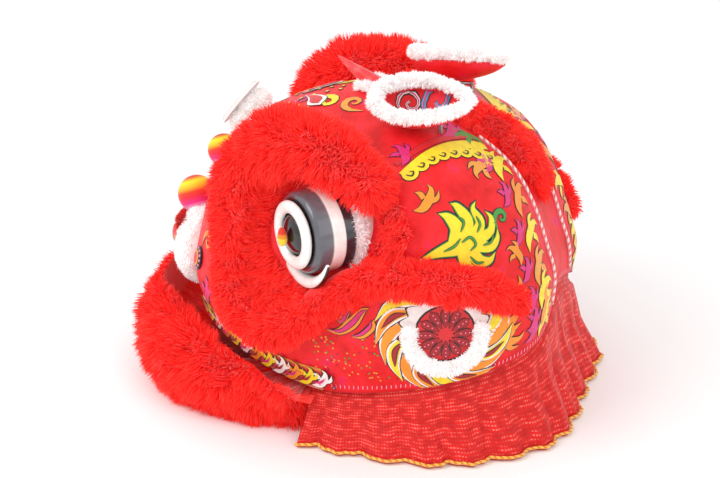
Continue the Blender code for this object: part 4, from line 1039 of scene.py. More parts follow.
def makeSocket(big, small, side):
    # pile on the cloth between the brow and the eye, in an oval of section and height less the eye's place
    rng = np.random.default_rng(14)
    s = rng.uniform(1.5, 3.95, 48000)
    u = rng.uniform(0.32, 0.71, 48000)
    oval = ((s - 2.70 - 1.4 * (u - 0.505)) / 0.98) ** 2 + ((u - 0.515) / 0.190) ** 2
    s, u = s[oval < 1], u[oval < 1]
    roots = shellPoint(s, u) * flipped(side)
    normals = shellNormal(s, u) * flipped(side)
    axis = eyeAxis * flipped(side)
    away = roots - eyeFront * flipped(side)
    away = away - (away @ axis)[:, None] * axis
    reach = np.linalg.norm(away, axis=1)
    keep = np.flatnonzero(reach > 0.079)[:browFur["socketStrands"]]
    flow = unit(away)[keep] * 0.5 + np.array([0.0, 0.0, -0.3])
    size = np.clip((reach[keep] - 0.060) / 0.035, 0.5, 1.0)
    furPiece(
        f"socketFur{big}", roots[keep] - normals[keep] * 0.001, normals[keep], flow, "redFur",
        furCoats["socket"], seed=22, size=size,
    )


jawForm = {
    "radius": 0.066,
    "bed": 0.74,
    "strands": 31500,
    "lipClearance": 0.012,
    "lipShelf": 0.066,
    "muzzleClearance": 0.019,
    "rest": 0.016,
    # plan x and y, width and height as shares, middle height as a share
    "path": (
        (0.775, -0.245, 0.62, 0.66, 0.74),
        (0.795, -0.400, 0.90, 0.92, 0.92),
        (0.780, -0.600, 1.00, 1.00, 1.00),
        (0.690, -0.840, 1.00, 1.02, 1.04),
        (0.480, -1.050, 0.90, 1.12, 1.16),
        (0.240, -1.140, 0.72, 1.26, 1.30),
        (0.000, -1.172, 0.64, 1.28, 1.34),
    ),
}
muzzleForm = {"reach": (0.104, 0.042, 0.068), "height": 0.198, "groove": 0.16}
upRows = np.linspace(0, 1, 201)
muzzleUp = float(np.interp(muzzleForm["height"], shellPoint(np.zeros(201), upRows)[:, 2], upRows))
muzzleCentre = shellPoint(0.0, muzzleUp)
muzzleCentre[2] = muzzleForm["height"]


def clearOfLip(points):
    # a point over the shelf that lies nearer the head's middle line than the lip's edge and its clearance
    # is pushed straight out to that edge
    look = jawForm
    plan = plainShell(np.linspace(0, 12, 72, endpoint=False), np.full(72, 1 / 3))
    outward = plan - np.array([0.0, headForm["middleY"], 0.0])
    outward[:, 2] = 0.0
    edge = plan + unit(outward) * look["lipClearance"]
    front = muzzleCentre[1] - muzzleForm["reach"][1] - look["muzzleClearance"]
    near = np.exp(-((edge[:, 0] / (muzzleForm["reach"][0] * 1.15)) ** 4)) * (edge[:, 1] < headForm["middleY"])
    edge[:, 1] += (front - edge[:, 1]) * near
    angles = np.arctan2(edge[:, 0], headForm["middleY"] - edge[:, 1])
    order = np.argsort(angles)
    x = points[..., 0]
    y = points[..., 1] - headForm["middleY"]
    away = np.hypot(x, y)
    limit = np.interp(
        np.arctan2(x, -y), angles[order], np.hypot(edge[:, 0], edge[:, 1] - headForm["middleY"])[order]
    )
    push = np.where((points[..., 2] > look["lipShelf"]) & (away < limit), limit / away, 1.0)
    return np.stack([x * push, y * push + headForm["middleY"], points[..., 2]], -1)


def makeJaw():
    look = jawForm
    half = np.array(look["path"])
    rows = np.vstack([half, half[-2::-1] * np.array([-1, 1, 1, 1, 1])])
    rows = smoothRows(rows, np.linspace(0, len(rows) - 1, 110))
    centres = np.stack([
        rows[:, 0] * headForm["sideReach"],
        rows[:, 1] * headForm["faceReach"] + headForm["middleY"],
        rows[:, 4] * look["radius"],
    ], 1)
    ups = np.tile((0.0, 0.0, 1.0), (len(rows), 1))
    bed = rollGrid(centres, ups, rows[:, 2] * look["radius"] * look["bed"], rows[:, 3] * look["radius"] * look["bed"], 28)
    bed = lumpy(bed, 0.003, 0.05, 5)
    bed[..., 2] = np.where(bed[..., 2] < look["rest"] + 0.010, 0.0006, bed[..., 2])
    bed = clearOfLip(bed)
    pad = tubePiece("jawPad", bed, body="jaw", slot="red_fur", look="redFur")
    # painted shade: the pad takes a strand tone darker than the strands' middle, as seen down in the pile
    paintPoints(pad, "strand", np.tile((0.6, 0.16, 0.5, 1.0), (len(pad.data.vertices), 1)))
    rng = np.random.default_rng(12)
    roots, normals, along, _ = scatter(bed, int(look["strands"] * 2.2), rng)
    keep = (roots[:, 2] > 0.004) | (normals[:, 2] > -0.5)
    roots, normals, along = (rows[keep] for rows in (roots, normals, along))
    for name, part in (("Left", roots[:, 0] > 0), ("Right", roots[:, 0] <= 0)):
        pick = np.flatnonzero(part)[:look["strands"] * 9 // 10]
        flow = hangingFlow(normals[pick], along[pick], rng)
        piece = furPiece(
            f"jawFur{name}", roots[pick], normals[pick], flow, "redFur", furCoats["jaw"], "jaw", seed=31, floor=0.0,
            shape=clearOfLip,
        )
        if name == "Left":
            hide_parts("jaw_fur")


maneForm = {
    "radius": 0.030,
    "strands": 7500,
    "path": ((0.845, 0.50), (0.78, 0.85), (0.70, 1.00), (0.62, 0.95), (0.54, 0.60)),
}


def makeMane():
    rows = smoothRows(np.array(maneForm["path"]), np.linspace(0, len(maneForm["path"]) - 1, 50))
    section = np.full(50, 6.0)
    normal = shellNormal(section, rows[:, 0])
    radius = rows[:, 1] * maneForm["radius"]
    centres = shellPoint(section, rows[:, 0]) + normal * radius[:, None] * 0.2
    bed = rollGrid(centres, normal, radius * 0.8, radius * 0.75, 20)
    pad = tubePiece("manePad", bed, slot="red_fur", look="redFur")
    # painted shade: the pad takes a strand tone darker than the strands' middle, as seen down in the pile
    paintPoints(pad, "strand", np.tile((0.6, 0.16, 0.5, 1.0), (len(pad.data.vertices), 1)))
    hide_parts("mane")
    rng = np.random.default_rng(13)
    roots, normals, along, place = scatter(bed, maneForm["strands"] * 2, rng)
    row = np.clip((place * len(bed) - 6).astype(int), 0, 49)
    keep = np.einsum("ij,ij->i", roots - centres[row], normal[row]) > -0.1 * maneForm["radius"]
    keep = np.flatnonzero(keep)[:maneForm["strands"]]
    flow = hangingFlow(normals[keep], along[keep], rng)
    furPiece("maneFur", roots[keep], normals[keep], flow, "redFur", furCoats["mane"], seed=33)


for side in sides:
    makeBrow(*side)
    makeSocket(*side)
makeJaw()
makeMane()
print("deep fur made")


# Muzzle, nose, bow and balls

def ballGrid(rings=22, around=40):  # a unit ball in rings from its top down
    t, a = np.meshgrid(
        np.linspace(0.03, math.pi - 0.03, rings), np.arange(around) * 2 * math.pi / around, indexing="ij"
    )
    return np.stack([np.sin(t) * np.cos(a), np.sin(t) * np.sin(a), np.cos(t)], -1)


def latheGrid(profile, origin, axis, around=48):
    # rings of a profile of radius and height turned round an axis
    profile = np.asarray(profile, float)
    first = unit(np.cross(axis, (0.0, 0.0, 1.0)) if abs(axis[2]) < 0.95 else np.array([1.0, 0.0, 0.0]))
    second = np.cross(axis, first)
    turn = np.arange(around) * 2 * math.pi / around
    circle = first * np.cos(turn)[:, None] + second * np.sin(turn)[:, None]
    return origin + profile[:, :1, None] * circle + profile[:, 1:, None] * np.asarray(axis)


def paintRows(piece, grid, colours):  # one colour for each row of a tube, and for its two end points
    full = np.repeat(np.asarray(colours)[:, None], grid.shape[1], 1) if np.ndim(colours) == 2 else colours
    paintPoints(piece, "ink", np.vstack([full.reshape(-1, 4), full[0, :1], full[-1, :1]]))


def paintPadShade(piece):  # painted shade: the darker tone of fur seen down between the strands, put on the pad under them
    paintPoints(piece, "strand", np.tile((0.6, 0.12, 0.5, 1.0), (len(piece.data.vertices), 1)))


# painted shade, fainter: the tone of short pile seen down between its strands, put on the pad under them
def paintPlushShade(piece):
    paintPoints(piece, "strand", np.tile((0.6, 0.30, 0.5, 1.0), (len(piece.data.vertices), 1)))


def makeMuzzle():
    # a ball with a groove down its middle and a swelling on either side below, in short white pile
    look = muzzleForm
    ball = ballGrid(40, 72)
    x, y, z = ball[..., 0], ball[..., 1], ball[..., 2]
    groove = 1 - look["groove"] * np.exp(-((x / 0.16) ** 2)) * np.where(z < 0.3, 1, 0.3)
    puff = 1 + 0.10 * np.exp(-(((np.abs(x) - 0.5) / 0.3) ** 2)) * (z < 0)
    form = muzzleCentre + np.stack([x, y * groove * puff, z * puff], -1) * np.array(look["reach"]) * 0.935
    pad = tubePiece("muzzlePad", form, slot="white_fur", look="whiteFur")
    paintPlushShade(pad)
    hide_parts("muzzle")
    rng = np.random.default_rng(41)
    roots, normals, along, _ = scatter(form, 26000, rng)
    keep = (roots[:, 1] < muzzleCentre[1] + 0.012) & (normals[:, 1] < 0.4)
    roots, normals = roots[keep][:10500], normals[keep][:10500]
    flow = hangingFlow(normals, along[keep][:10500], rng, 0.3)
    coat = dict(furCoats["plush"], length=0.0075)
    furPiece("muzzlePile", roots, normals, flow, "whiteFur", coat, slot="white_fur", seed=42)
    smile = np.array([(s * 0.055, -0.036 - 0.010 * (1 - s * s), -0.030 - 0.016 * s * s) for s in np.linspace(-1, 1, 40)])
    ups = np.tile((0.0, -1.0, 0.0), (40, 1))
    thick = 0.0028 * np.sqrt(np.maximum(1 - np.linspace(-0.98, 0.98, 40) ** 4, 0.05))
    lip = rollGrid(muzzleCentre + smile, ups, thick, thick, 12)
    piece = tubePiece("lipLine", lip, slot="velvet", look="felt")
    paintRows(piece, lip, np.tile(linear("#C8202C"), (len(lip), 1)))


def makeNose():
    # a bent roll of red felt; its back half carries a gold line, and a dark border with pale dots round that
    centre = muzzleCentre + np.array([0.0, -muzzleForm["reach"][1] * 0.90, muzzleForm["reach"][2] * 0.05])
    s = np.linspace(-1, 1, 70)
    line = centre + np.stack([s * 0.045, 0.012 * s * s - 0.0085, 0.014 - 0.016 * np.abs(s) + 0.012 * s**4], 1)
    size = 0.0172 * (0.62 + 0.38 * np.sin(math.pi * np.abs(s) ** 0.8))
    ups = np.tile((0.0, -1.0, 0.2), (70, 1))
    roll = rollGrid(line, ups, size, size * 0.72, 44)
    piece = tubePiece("noseRoll", roll, slot="velvet", look="felt")
    turn = np.arange(44) * 2 * math.pi / 44
    off = np.degrees(np.abs((turn - math.pi / 2 + math.pi) % (2 * math.pi) - math.pi))
    row = np.arange(len(roll))
    grid = np.empty(roll.shape[:2] + (4,))
    grid[:] = linear(inks["red"])
    endShare = np.abs(np.linspace(-1.12, 1.12, len(roll)))
    reach = off[None, :] / 90 + np.clip(endShare - 0.80, 0, 1)[:, None] * 1.6
    grid[reach > 0.50] = linear(inks["gold"])
    grid[reach > 0.66] = linear(inks["black"])
    dots = (np.abs(reach - 0.86) < 0.08) & ((row % 6) < 3)[:, None]
    grid[dots] = linear(inks["pink"])
    grid[reach > 1.12] = linear(inks["deep"])
    paintRows(piece, roll, grid)
    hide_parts("nose")
    top = muzzleCentre + np.array([0.0, -muzzleForm["reach"][1] * 0.86, muzzleForm["reach"][2] * 0.53])
    t = np.linspace(-1, 1, 40)
    bowLine = top + np.stack([t * 0.046, 0.012 * np.abs(t) - 0.003, 0.004 * np.abs(t)], 1)
    bowSize = 0.012 * (0.50 + 0.50 * np.abs(t)) * 0.62
    bow = rollGrid(bowLine, np.tile((0.0, -0.5, 1.0), (40, 1)), bowSize, bowSize, 16)
    pad = tubePiece("bowPad", bow, slot="red_fur", look="deepFur")
    paintPadShade(pad)
    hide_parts("nose_bow")
    rng = np.random.default_rng(43)
    roots, normals, along, _ = scatter(bow, 3600, rng)
    furPiece("bowFur", roots, normals, along * 0.3, "deepFur", furCoats["plush"], seed=44)


def makeSpots():
    # red felt ovals with a gold ring and a dark rim of dots
    for big, small, side in sides:
        seat = shellPoint(0.98, 0.34) * flipped(side)
        normal = shellNormal(0.98, 0.34) * flipped(side)
        r = np.linspace(0.02, 1, 26)
        grid = latheGrid(np.stack([r * 0.0195, 0.0088 * np.sqrt(1 - (r * 0.98) ** 2) - 0.0006], 1), seat, normal)
        piece = tubePiece(f"muzzleSpot{big}", grid, slot="velvet", look="felt")
        colours = np.empty(grid.shape[:2] + (4,))
        colours[:] = linear(inks["red"])
        colours[r > 0.50] = linear(inks["gold"])
        colours[r > 0.66] = linear(inks["black"])
        around = (np.arange(grid.shape[1]) % 4) < 2
        colours[((r > 0.74) & (r < 0.90))[:, None] & around[None]] = linear(inks["pink"])
        paintRows(piece, grid, colours)
        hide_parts(f"muzzle_spot_{small}")


def makeBalls():
    seat = shellPoint(0.0, 0.405)
    normal = shellNormal(0.0, 0.405)
    bands = unit(np.array([-0.25, -0.35, 0.90]))
    for name, node, place, radius in (
        ("noseBall", "nose_ball", seat + normal * 0.032 * 0.92, 0.032),
        ("bridgeBall", "bridge_ball", shellPoint(0.0, 0.555) + shellNormal(0.0, 0.555) * 0.027 * 0.25, 0.027),
    ):
        looks[name] = bandedVelvet(name + "Velvet", place, radius, bands)
        grid = place + ballGrid(36, 60) * radius * 0.985
        piece = tubePiece(name, grid, slot="velvet", look=name)
        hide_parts(node)


# Mirror, horn and pompoms on the forehead

mirrorForm = {"up": 0.70, "lift": 0.036, "tilt": math.radians(53), "radius": 0.041, "thickness": 0.007, "fur": 0.0185}


def makeMirror():
    look = mirrorForm
    axis = np.array([0.0, -math.sin(look["tilt"]), math.cos(look["tilt"])])
    disc = shellPoint(0.0, look["up"]) + axis * look["lift"]
    half = look["thickness"] / 2
    r = look["radius"]
    rim = (
        (0.0004, half * 0.55), (r * 0.80, half * 0.55), (r * 0.86, half), (r * 0.90, half * 1.5),
        (r * 0.95, half * 1.6), (r * 0.99, half * 1.1), (r, 0.0), (r * 0.99, -half), (0.0004, -half),
    )
    grid = latheGrid(smoothRows(np.array(rim), np.linspace(0, 8, 49)), disc, axis, 72)
    piece = tubePiece("mirrorFrame", grid, slot="white_piping", look="felt")
    paintRows(piece, grid, np.tile(linear("#F3F0EE"), (len(grid), 1)))
    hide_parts("mirror_frame")
    dome = np.linspace(0.01, 1, 14)
    glass = np.stack([dome * r * 0.84, half + 0.0012 * (1 - dome**2) + 0.0004], 1)
    edge = np.array([(r * 0.845, half * 0.8), (0.0004, half * 0.8)])
    grid = latheGrid(np.vstack([glass, edge]), disc, axis, 64)
    piece = tubePiece("mirrorGlass", grid, slot="mirror", look="mirror")
    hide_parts("mirror_glass")
    reach = r - look["fur"] * 0.9
    drop = half + 0.0005 + look["fur"] * 0.94
    turn = np.linspace(0, 2 * math.pi, 60, endpoint=False)
    rise = np.cross((1.0, 0.0, 0.0), axis)
    centres = disc - axis * drop + reach * (
        np.array([1.0, 0, 0]) * np.cos(turn)[:, None] + rise * np.sin(turn)[:, None]
    )
    size = np.full(60, look["fur"] * 0.62)
    bed = rollGrid(centres, np.tile(axis, (60, 1)), size, size, 20, ring=True)
    pad = ringPiece("mirrorPad", bed, slot="white_fur", look="whiteFur")
    paintPlushShade(pad)
    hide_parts("mirror_fur")
    rng = np.random.default_rng(51)
    roots, normals, along, _ = scatter(bed, 6000, rng, True)
    out = unit(roots - disc)
    furPiece("mirrorPile", roots, normals, out * 0.4, "whiteFur", furCoats["plush"], slot="white_fur", seed=52)


hornForm = {"length": 0.078, "radius": 0.015, "lean": math.radians(56), "collar": 0.020, "tube": 0.011}


def makeHorn():
    # a soft cone leaned forward, narrowing to its tip; puckers run along it where the satin is drawn tight
    look = hornForm
    seat = shellPoint(0.0, 1.0)
    axis = np.array([0.0, -math.sin(look["lean"]), math.cos(look["lean"])])
    foot = seat + np.array([0.0, 0.004, look["tube"] * 0.3])
    t = np.linspace(-0.10, 1, 60)
    radius = look["radius"] * np.clip(1 - 0.90 * np.clip(t, 0, 1) ** 1.15, 0.03, 1)
    radius[-1] = 0.0005
    profile = np.stack([radius, t * look["length"] * 0.985], 1)
    grid = latheGrid(profile, foot, axis, 40)
    turn = np.arange(40) * 2 * math.pi / 40
    pucker = 1 + 0.05 * np.cos(turn * 7)[None] * np.clip(1 - t, 0, 1)[:, None]
    middle = grid.mean(1, keepdims=True)
    grid = middle + (grid - middle) * pucker[..., None]
    piece = tubePiece("hornCone", grid, slot="satin", look="horn")
    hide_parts("horn")
    turn = np.linspace(0, 2 * math.pi, 40, endpoint=False)
    ring = np.stack([look["collar"] * np.cos(turn), look["collar"] * np.sin(turn), look["tube"] * 0.4 + 0 * turn], 1)
    size = np.full(40, look["tube"] * 0.6)
    bed = rollGrid(seat + ring, np.tile((0.0, 0.0, 1.0), (40, 1)), size, size, 16, ring=True)
    pad = ringPiece("hornCollarPad", bed, slot="white_fur", look="whiteFur")
    paintPlushShade(pad)
    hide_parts("horn_collar")
    rng = np.random.default_rng(53)
    roots, normals, along, _ = scatter(bed, 3400, rng, True)
    keep = normals[:, 2] > -0.5
    furPiece(
        "hornCollarPile", roots[keep], normals[keep], along[keep] * 0.2, "whiteFur", furCoats["plush"],
        slot="white_fur", seed=54,
    )
    for big, small, side in sides:
        middle = (shellPoint(4.6, 0.925) + shellNormal(4.6, 0.925) * 0.016 * 0.8) * flipped(side)
        bed = middle + ballGrid(14, 24) * 0.0085
        pad = tubePiece(f"pompomCore{big}", bed, slot="red_fur", look="redFur")
        paintPadShade(pad)
        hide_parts(f"pompom_{small}")
        rng = np.random.default_rng(55)
        roots, normals, along, _ = scatter(bed, 1500, rng)
        furPiece(f"pompomPile{big}", roots, normals, along * 0.1, "redFur", furCoats["plush"], seed=56)


makeMuzzle()
makeNose()
makeSpots()
makeBalls()
makeMirror()
makeHorn()
print("face dressed")

# Eyes

def eyeColour(height):
    # bands down the drum's side: dark gloss, white, dark, white, then dark to the back
    stops = (0.0, -0.001, -0.026, -0.027, -0.046, -0.047, -0.062, -0.063, -0.110)
    hexes = ("#26262C", "#5A5A62", "#6A6A72", "#F6F2EE", "#F6F2EE", "#2A2A30", "#36363C", "#E8DEDC", "#E8DEDC")
    colours = np.array([linear(text) for text in hexes])
    order = np.argsort(stops)
    return np.stack([np.interp(height, np.array(stops)[order], colours[order, k]) for k in range(4)], -1)


def makeEye(big, small, side):
    axis = eyeAxis * flipped(side)
    front = eyeFront * flipped(side)
    inner = 0.0521
    face = [(r, -0.0035 * math.cos(r / inner * math.pi / 2) - 0.0002) for r in np.linspace(0.0005, inner, 18)]
    bevel = [(inner + (0.062 - inner) * math.sin(a), -0.0099 * (1 - math.cos(a))) for a in np.linspace(0.1, 1.57, 8)]
    wall = [(0.062 + 0.008 * t, -0.0099 - 0.1001 * t) for t in np.linspace(0.01, 1, 72)]
    profile = np.array(face + bevel + wall)
    grid = latheGrid(profile, front, axis, 72)
    piece = tubePiece(f"eyeDrum{big}", grid, slot="eye_black", look="eyePaint")
    colours = eyeColour(profile[:, 1])
    colours[:18] = linear("#16161A")
    paintRows(piece, grid, colours)
    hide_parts(f"eye_drum_{small}")
    turn = np.linspace(0, 2 * math.pi, 96, endpoint=False)
    level = unit(np.cross(axis, (0.0, 0.0, 1.0)))
    rise = np.cross(level, axis)
    centres = front + axis * 0.0075 + 0.0421 * (level * np.cos(turn)[:, None] + rise * np.sin(turn)[:, None])
    width = np.full(96, 0.0100)
    ring = rollGrid(centres, np.tile(axis, (96, 1)), width, width * 0.70, 24, ring=True)
    piece = ringPiece(f"eyeRing{big}", ring, slot="eye_white", look="eyePaint")
    paintPoints(piece, "ink", np.tile(linear("#F8F4F0"), (len(piece.data.vertices), 1)))
    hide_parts(f"eye_ring_{small}")
    t = np.linspace(0.02, 1, 26)
    dome = np.stack([0.0323 * np.sin(t * math.pi / 2), 0.0158 * np.cos(t * math.pi / 2) + 0.0006], 1)
    grid = latheGrid(np.vstack([dome, [(0.0005, 0.0)]]), front, axis, 72)
    piece = tubePiece(f"eyePupil{big}", grid, slot="eye_black", look="eyePaint")
    shade = np.array([linear("#101014")] * 20 + [linear("#303036")] * 7)
    paintRows(piece, grid, shade)
    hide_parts(f"eye_pupil_{small}")
    # the glint: a small flame of felt that stands on the pupil, red with a yellow heart
    seat = front + axis * 0.0251
    flame = ballGrid(24, 28) * np.array([0.0085, 0.0080, 0.0150])
    tall = flame[..., 2:] / 0.0150
    flame = flame[..., :1] * level * (1 - 0.35 * tall) + flame[..., 1:2] * axis * 0.9 + flame[..., 2:] * rise
    flame = seat + flame + level * 0.0025 * tall**2
    piece = tubePiece(f"eyeGlint{big}", flame, slot="glint", look="felt")
    shade = np.empty(flame.shape[:2] + (4,))
    shade[:] = linear("#F8D020")
    shade[:9] = linear("#E83418")
    shade[9:12] = linear("#F88A1C")
    paintRows(piece, flame, shade)
    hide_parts(f"eye_glint_{small}")
    # the lid: a crescent round the lower edge of the drum, white with a dark line along its outside
    angle = np.radians(np.linspace(-158, -22, 60))
    reach = 0.076
    centres = front - axis * 0.011 + reach * (level * np.cos(angle)[:, None] + rise * np.sin(angle)[:, None])
    taper = 0.011 * np.sin(np.radians(np.linspace(18, 162, 60)))
    lid = rollGrid(centres, np.tile(axis, (60, 1)), taper, taper, 28, caps=5)
    piece = tubePiece(f"eyeLid{big}", lid, slot="eye_white", look="eyePaint")
    away = np.linalg.norm((lid - front) - ((lid - front) @ axis)[..., None] * axis, axis=-1)
    shade = np.empty(lid.shape[:2] + (4,))
    shade[:] = linear("#F8F4F0")
    rows = np.concatenate([np.full(5, taper[0]), taper, np.full(5, taper[-1])])
    shade[away > reach + rows[:, None] * 0.72] = linear("#1A1416")
    paintRows(piece, lid, shade)
    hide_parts(f"eye_lid_{small}")
    # lashes: a ring of grey pink fluff round the drum, behind its last dark band
    centres = front - axis * 0.072 + 0.066 * (level * np.cos(turn)[:, None] + rise * np.sin(turn)[:, None])
    size = np.full(96, 0.006)
    bed = rollGrid(centres, np.tile(axis, (96, 1)), size, size, 16, ring=True)
    pad = ringPiece(f"lashPad{big}", bed, slot="white_fur", look="lashFur")
    paintPlushShade(pad)
    rng = np.random.default_rng(61)
    roots, normals, along, _ = scatter(bed, 4200, rng, True)
    out = unit(roots - front + axis * 0.072)
    furPiece(f"lashPile{big}", roots, normals, out * 0.7, "lashFur", furCoats["plush"], slot="white_fur", seed=62)


# Ears

earForm = {
    "length": 0.150, "width": 0.090, "depth": 0.030, "wall": 0.0025, "centreX": 0.105, "centreY": 0.108,
    "lift": 0.013, "lean": math.radians(20), "fur": 0.011, "pile": 0.0095,
}


def earGround():  # height of the head under the ear's middle: the nearest point of a fine grid, seen from above
    s, u = np.meshgrid(np.linspace(3.0, 6.0, 61), np.linspace(0.55, 1.0, 91), indexing="ij")
    points = plainShell(s, u).reshape(-1, 3)
    away = np.hypot(points[:, 0] - earForm["centreX"], points[:, 1] - headForm["middleY"] - earForm["centreY"])
    return float(points[away.argmin(), 2])


def makeEar(big, small, side):
    look = earForm
    length = unit(np.array([0.0, 1.0, 0.06]))
    outward = np.array([math.sin(look["lean"]), 0.0, math.cos(look["lean"])])
    outward = unit(outward - length * (outward @ length))
    width = np.cross(length, outward)
    centre = np.array([look["centreX"], headForm["middleY"] + look["centreY"], earGround() + look["lift"] + look["depth"]])
    body = f"ear_{small}"

    def outline(share):
        swell = np.sin(math.pi * np.clip(share, 0.02, 0.985) ** 0.8) ** 0.7
        return look["width"] / 2 * swell, look["depth"] * swell**0.8

    def scoop(share, turn, inset):
        # half an ellipse across, sized along the length as the outline says
        half, depth = outline(share)
        half = np.maximum(half - inset, 0.0005)
        depth = np.maximum(depth - inset, 0.0005)
        away = width * (half * np.sin(turn))[..., None] - outward * (depth * np.cos(turn))[..., None]
        return (centre + length * ((share - 0.5) * look["length"])[..., None] + away) * flipped(side)

    share, turn = np.meshgrid(np.linspace(0.004, 0.996, 48), np.radians(np.linspace(-90, 90, 34)), indexing="ij")
    inner = scoop(share, turn, look["wall"])
    outer = scoop(share, turn, 0.0)
    loop = np.concatenate([inner, outer[:, ::-1]], 1)
    piece = tubePiece(f"earScoop{big}", loop, body=body, slot="printed_cloth", look="satin")
    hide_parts(body)
    sheet = newSheet()

    def onEar(x, y, lift):  # x along the ear, y across it, on the inside of the scoop
        along = np.clip(x / look["length"] + 0.5, 0.02, 0.98)
        half, _ = outline(along)
        across = np.arcsin(np.clip(y / np.maximum(half, 0.002), -0.97, 0.97))
        return scoop(along, across, look["wall"] + lift)

    for x, y, size, fill, angle in (
        (0.016, -0.030, 0.058, "cyan", 0.4), (-0.030, -0.026, 0.036, "white", 1.8), (0.020, 0.024, 0.040, "cyan", 2.6),
    ):
        for knots in motifs["swirl"]:
            turned = turnedKnots(knots, angle) * size + np.array([x, y, 0.0])
            printStroke(sheet, None, side, turned, 1.0, fill, 0.0016, "black", 1, onEar)
            thin = turned * np.array([1.0, 1.0, 0.40])
            printStroke(sheet, None, side, thin, 1.0, "magenta", 0.0, "black", 3, onEar)
    for x, y in ((0.060, 0.0), (0.052, 0.016), (0.052, -0.016), (-0.050, 0.010), (-0.050, -0.010)):
        printRing(sheet, None, side, 0.0, 0.0050, "black", 1, (x, y), 14, onEar)
        printRing(sheet, None, side, 0.0, 0.0036, "yellow", 2, (x, y), 14, onEar)
    points = np.vstack(sheet["points"])
    quads = np.vstack(sheet["quads"])
    first = points[quads[:, 1]] - points[quads[:, 0]]
    second = points[quads[:, 2]] - points[quads[:, 0]]
    facing = np.cross(first, second) @ (outward * flipped(side))
    if facing.sum() < 0:
        quads = quads[:, ::-1]
    printed = makePiece(f"earPrint{big}", points, quads, body=body, look="print")
    paintPoints(printed, "ink", np.vstack(sheet["inks"]))
    there = np.linspace(0.02, 0.98, 50)
    half, _ = outline(there)
    one = np.concatenate([there, there[::-1]])
    edge = np.concatenate([half, -half[::-1]])
    thick = look["fur"] * (1.25 - 0.35 * one)
    centres = centre + length * ((one - 0.5) * look["length"])[:, None] + width * edge[:, None]
    centres = (centres + outward * (thick * 0.94 + 0.0005)[:, None]) * flipped(side)
    bed = rollGrid(centres, np.tile(outward * flipped(side), (100, 1)), thick * 0.50, thick * 0.50, 18, ring=True)
    pad = ringPiece(f"earRimPad{big}", bed, body=body, slot="white_fur", look="whiteFur")
    paintPlushShade(pad)
    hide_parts(f"ear_fur_{small}")
    rng = np.random.default_rng(71)
    roots, normals, along, _ = scatter(bed, 8500, rng, True)
    out = unit(roots - centre * flipped(side))
    coat = dict(furCoats["rim"], length=look["pile"])
    furPiece(
        f"earRimPile{big}", roots, normals, out * 0.3 + along * 0.3, "whiteFur", coat, body, "white_fur", 72
    )


def makeCheekRing(big, small, side):
    normal = shellNormal(4.05, 0.30) * flipped(side)
    seat = shellPoint(4.05, 0.30) * flipped(side) - normal * 0.003
    level = unit(np.cross(normal, (0.0, 0.0, 1.0)))
    rise = np.cross(level, normal)
    turn = np.radians(np.linspace(172, 368, 70))
    centres = seat + 0.054 * (level * np.cos(turn)[:, None] + rise * np.sin(turn)[:, None])
    size = np.full(70, 0.0135 * 0.85)
    bed = rollGrid(centres, np.tile(normal, (70, 1)), size, size * 0.42, 20)
    pad = tubePiece(f"cheekPad{big}", bed, slot="white_fur", look="whiteFur")
    paintPlushShade(pad)
    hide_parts(f"cheek_ring_{small}")
    rng = np.random.default_rng(81)
    roots, normals, along, _ = scatter(bed, 6500, rng)
    keep = normals @ normal > -0.1
    out = unit(roots - seat)
    coat = dict(furCoats["plush"], length=0.0055, wild=0.16, stray=0.2)
    furPiece(f"cheekPile{big}", roots[keep], normals[keep], out[keep] * 0.2, "whiteFur", coat, slot="white_fur", seed=82)


for side in sides:
    makeEye(*side)
    makeEar(*side)
    makeCheekRing(*side)
print("eyes, ears and cheek rings made")

# Trim, piping and skirt

def cordPiece(name, centres, ups, radius, look, slot, body="root"):  # a round cord with its cloth's flat places
    size = np.full(len(centres), radius)
    grid = rollGrid(centres, ups, size, size, 10, caps=3)
    piece = tubePiece(name, grid, body=body, slot=slot, look=look)
    gone = np.concatenate([[0], np.cumsum(np.linalg.norm(np.diff(grid.mean(1), axis=0), axis=1))])
    flat = np.stack(np.broadcast_arrays(gone[:, None], np.arange(10)[None] * radius * 0.628), -1).reshape(-1, 2)
    layFlat(piece, np.vstack([flat, flat[:1], flat[-1:]]))
    return piece


pipingForm = {
    "side": 0.052,
    "radius": 0.0028,
    "path": ((0.74, 0.80), (0.64, 0.96), (0.52, 1.00), (0.38, 1.00), (0.22, 1.05), (0.05, 1.25)),
}


def makePiping(big, small, side):
    rows = smoothRows(np.array(pipingForm["path"]), np.linspace(0, 5, 140))
    span = plainShell(np.full(140, 5.0), rows[:, 0])[:, 0]
    section = 6 - rows[:, 1] * pipingForm["side"] / span
    normal = shellNormal(section, rows[:, 0])
    centres = (shellPoint(section, rows[:, 0]) + normal * pipingForm["radius"] * 0.6) * flipped(side)
    piece = cordPiece(
        f"backPiping{big}", centres, normal * flipped(side), pipingForm["radius"], "pinkCord", "white_piping"
    )
    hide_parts(f"back_piping_{small}")


def makeLipTrim(big, small, side):
    # a padded strip of gold cloth along the upper lip: its thickness is a half wave across
    s, t = np.meshgrid(np.linspace(1.05, 2.95, 110), np.linspace(0, 1, 9), indexing="ij")
    up = t / 9
    lift = 0.0015 + 0.0020 * np.sin(math.pi * t) ** 0.5
    normal = shellNormal(s, up)
    outer = (shellPoint(s, up) + normal * lift[..., None]) * flipped(side)
    inner = (shellPoint(s, up) + normal * 0.0004) * flipped(side)
    loop = np.concatenate([outer, inner[:, ::-1]], 1)
    piece = tubePiece(f"lipTrim{big}", loop, slot="printed_cloth", look="felt")
    band = np.where((t > 0.10) & (t < 0.93), 1.0, 0.0)[..., None]
    shade = band * np.array(linear("#E02430")) + (1 - band) * np.array(linear("#F0A838"))
    paintRows(piece, loop, np.concatenate([shade, shade[:, ::-1]], 1))
    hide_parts(f"lip_trim_{small}")


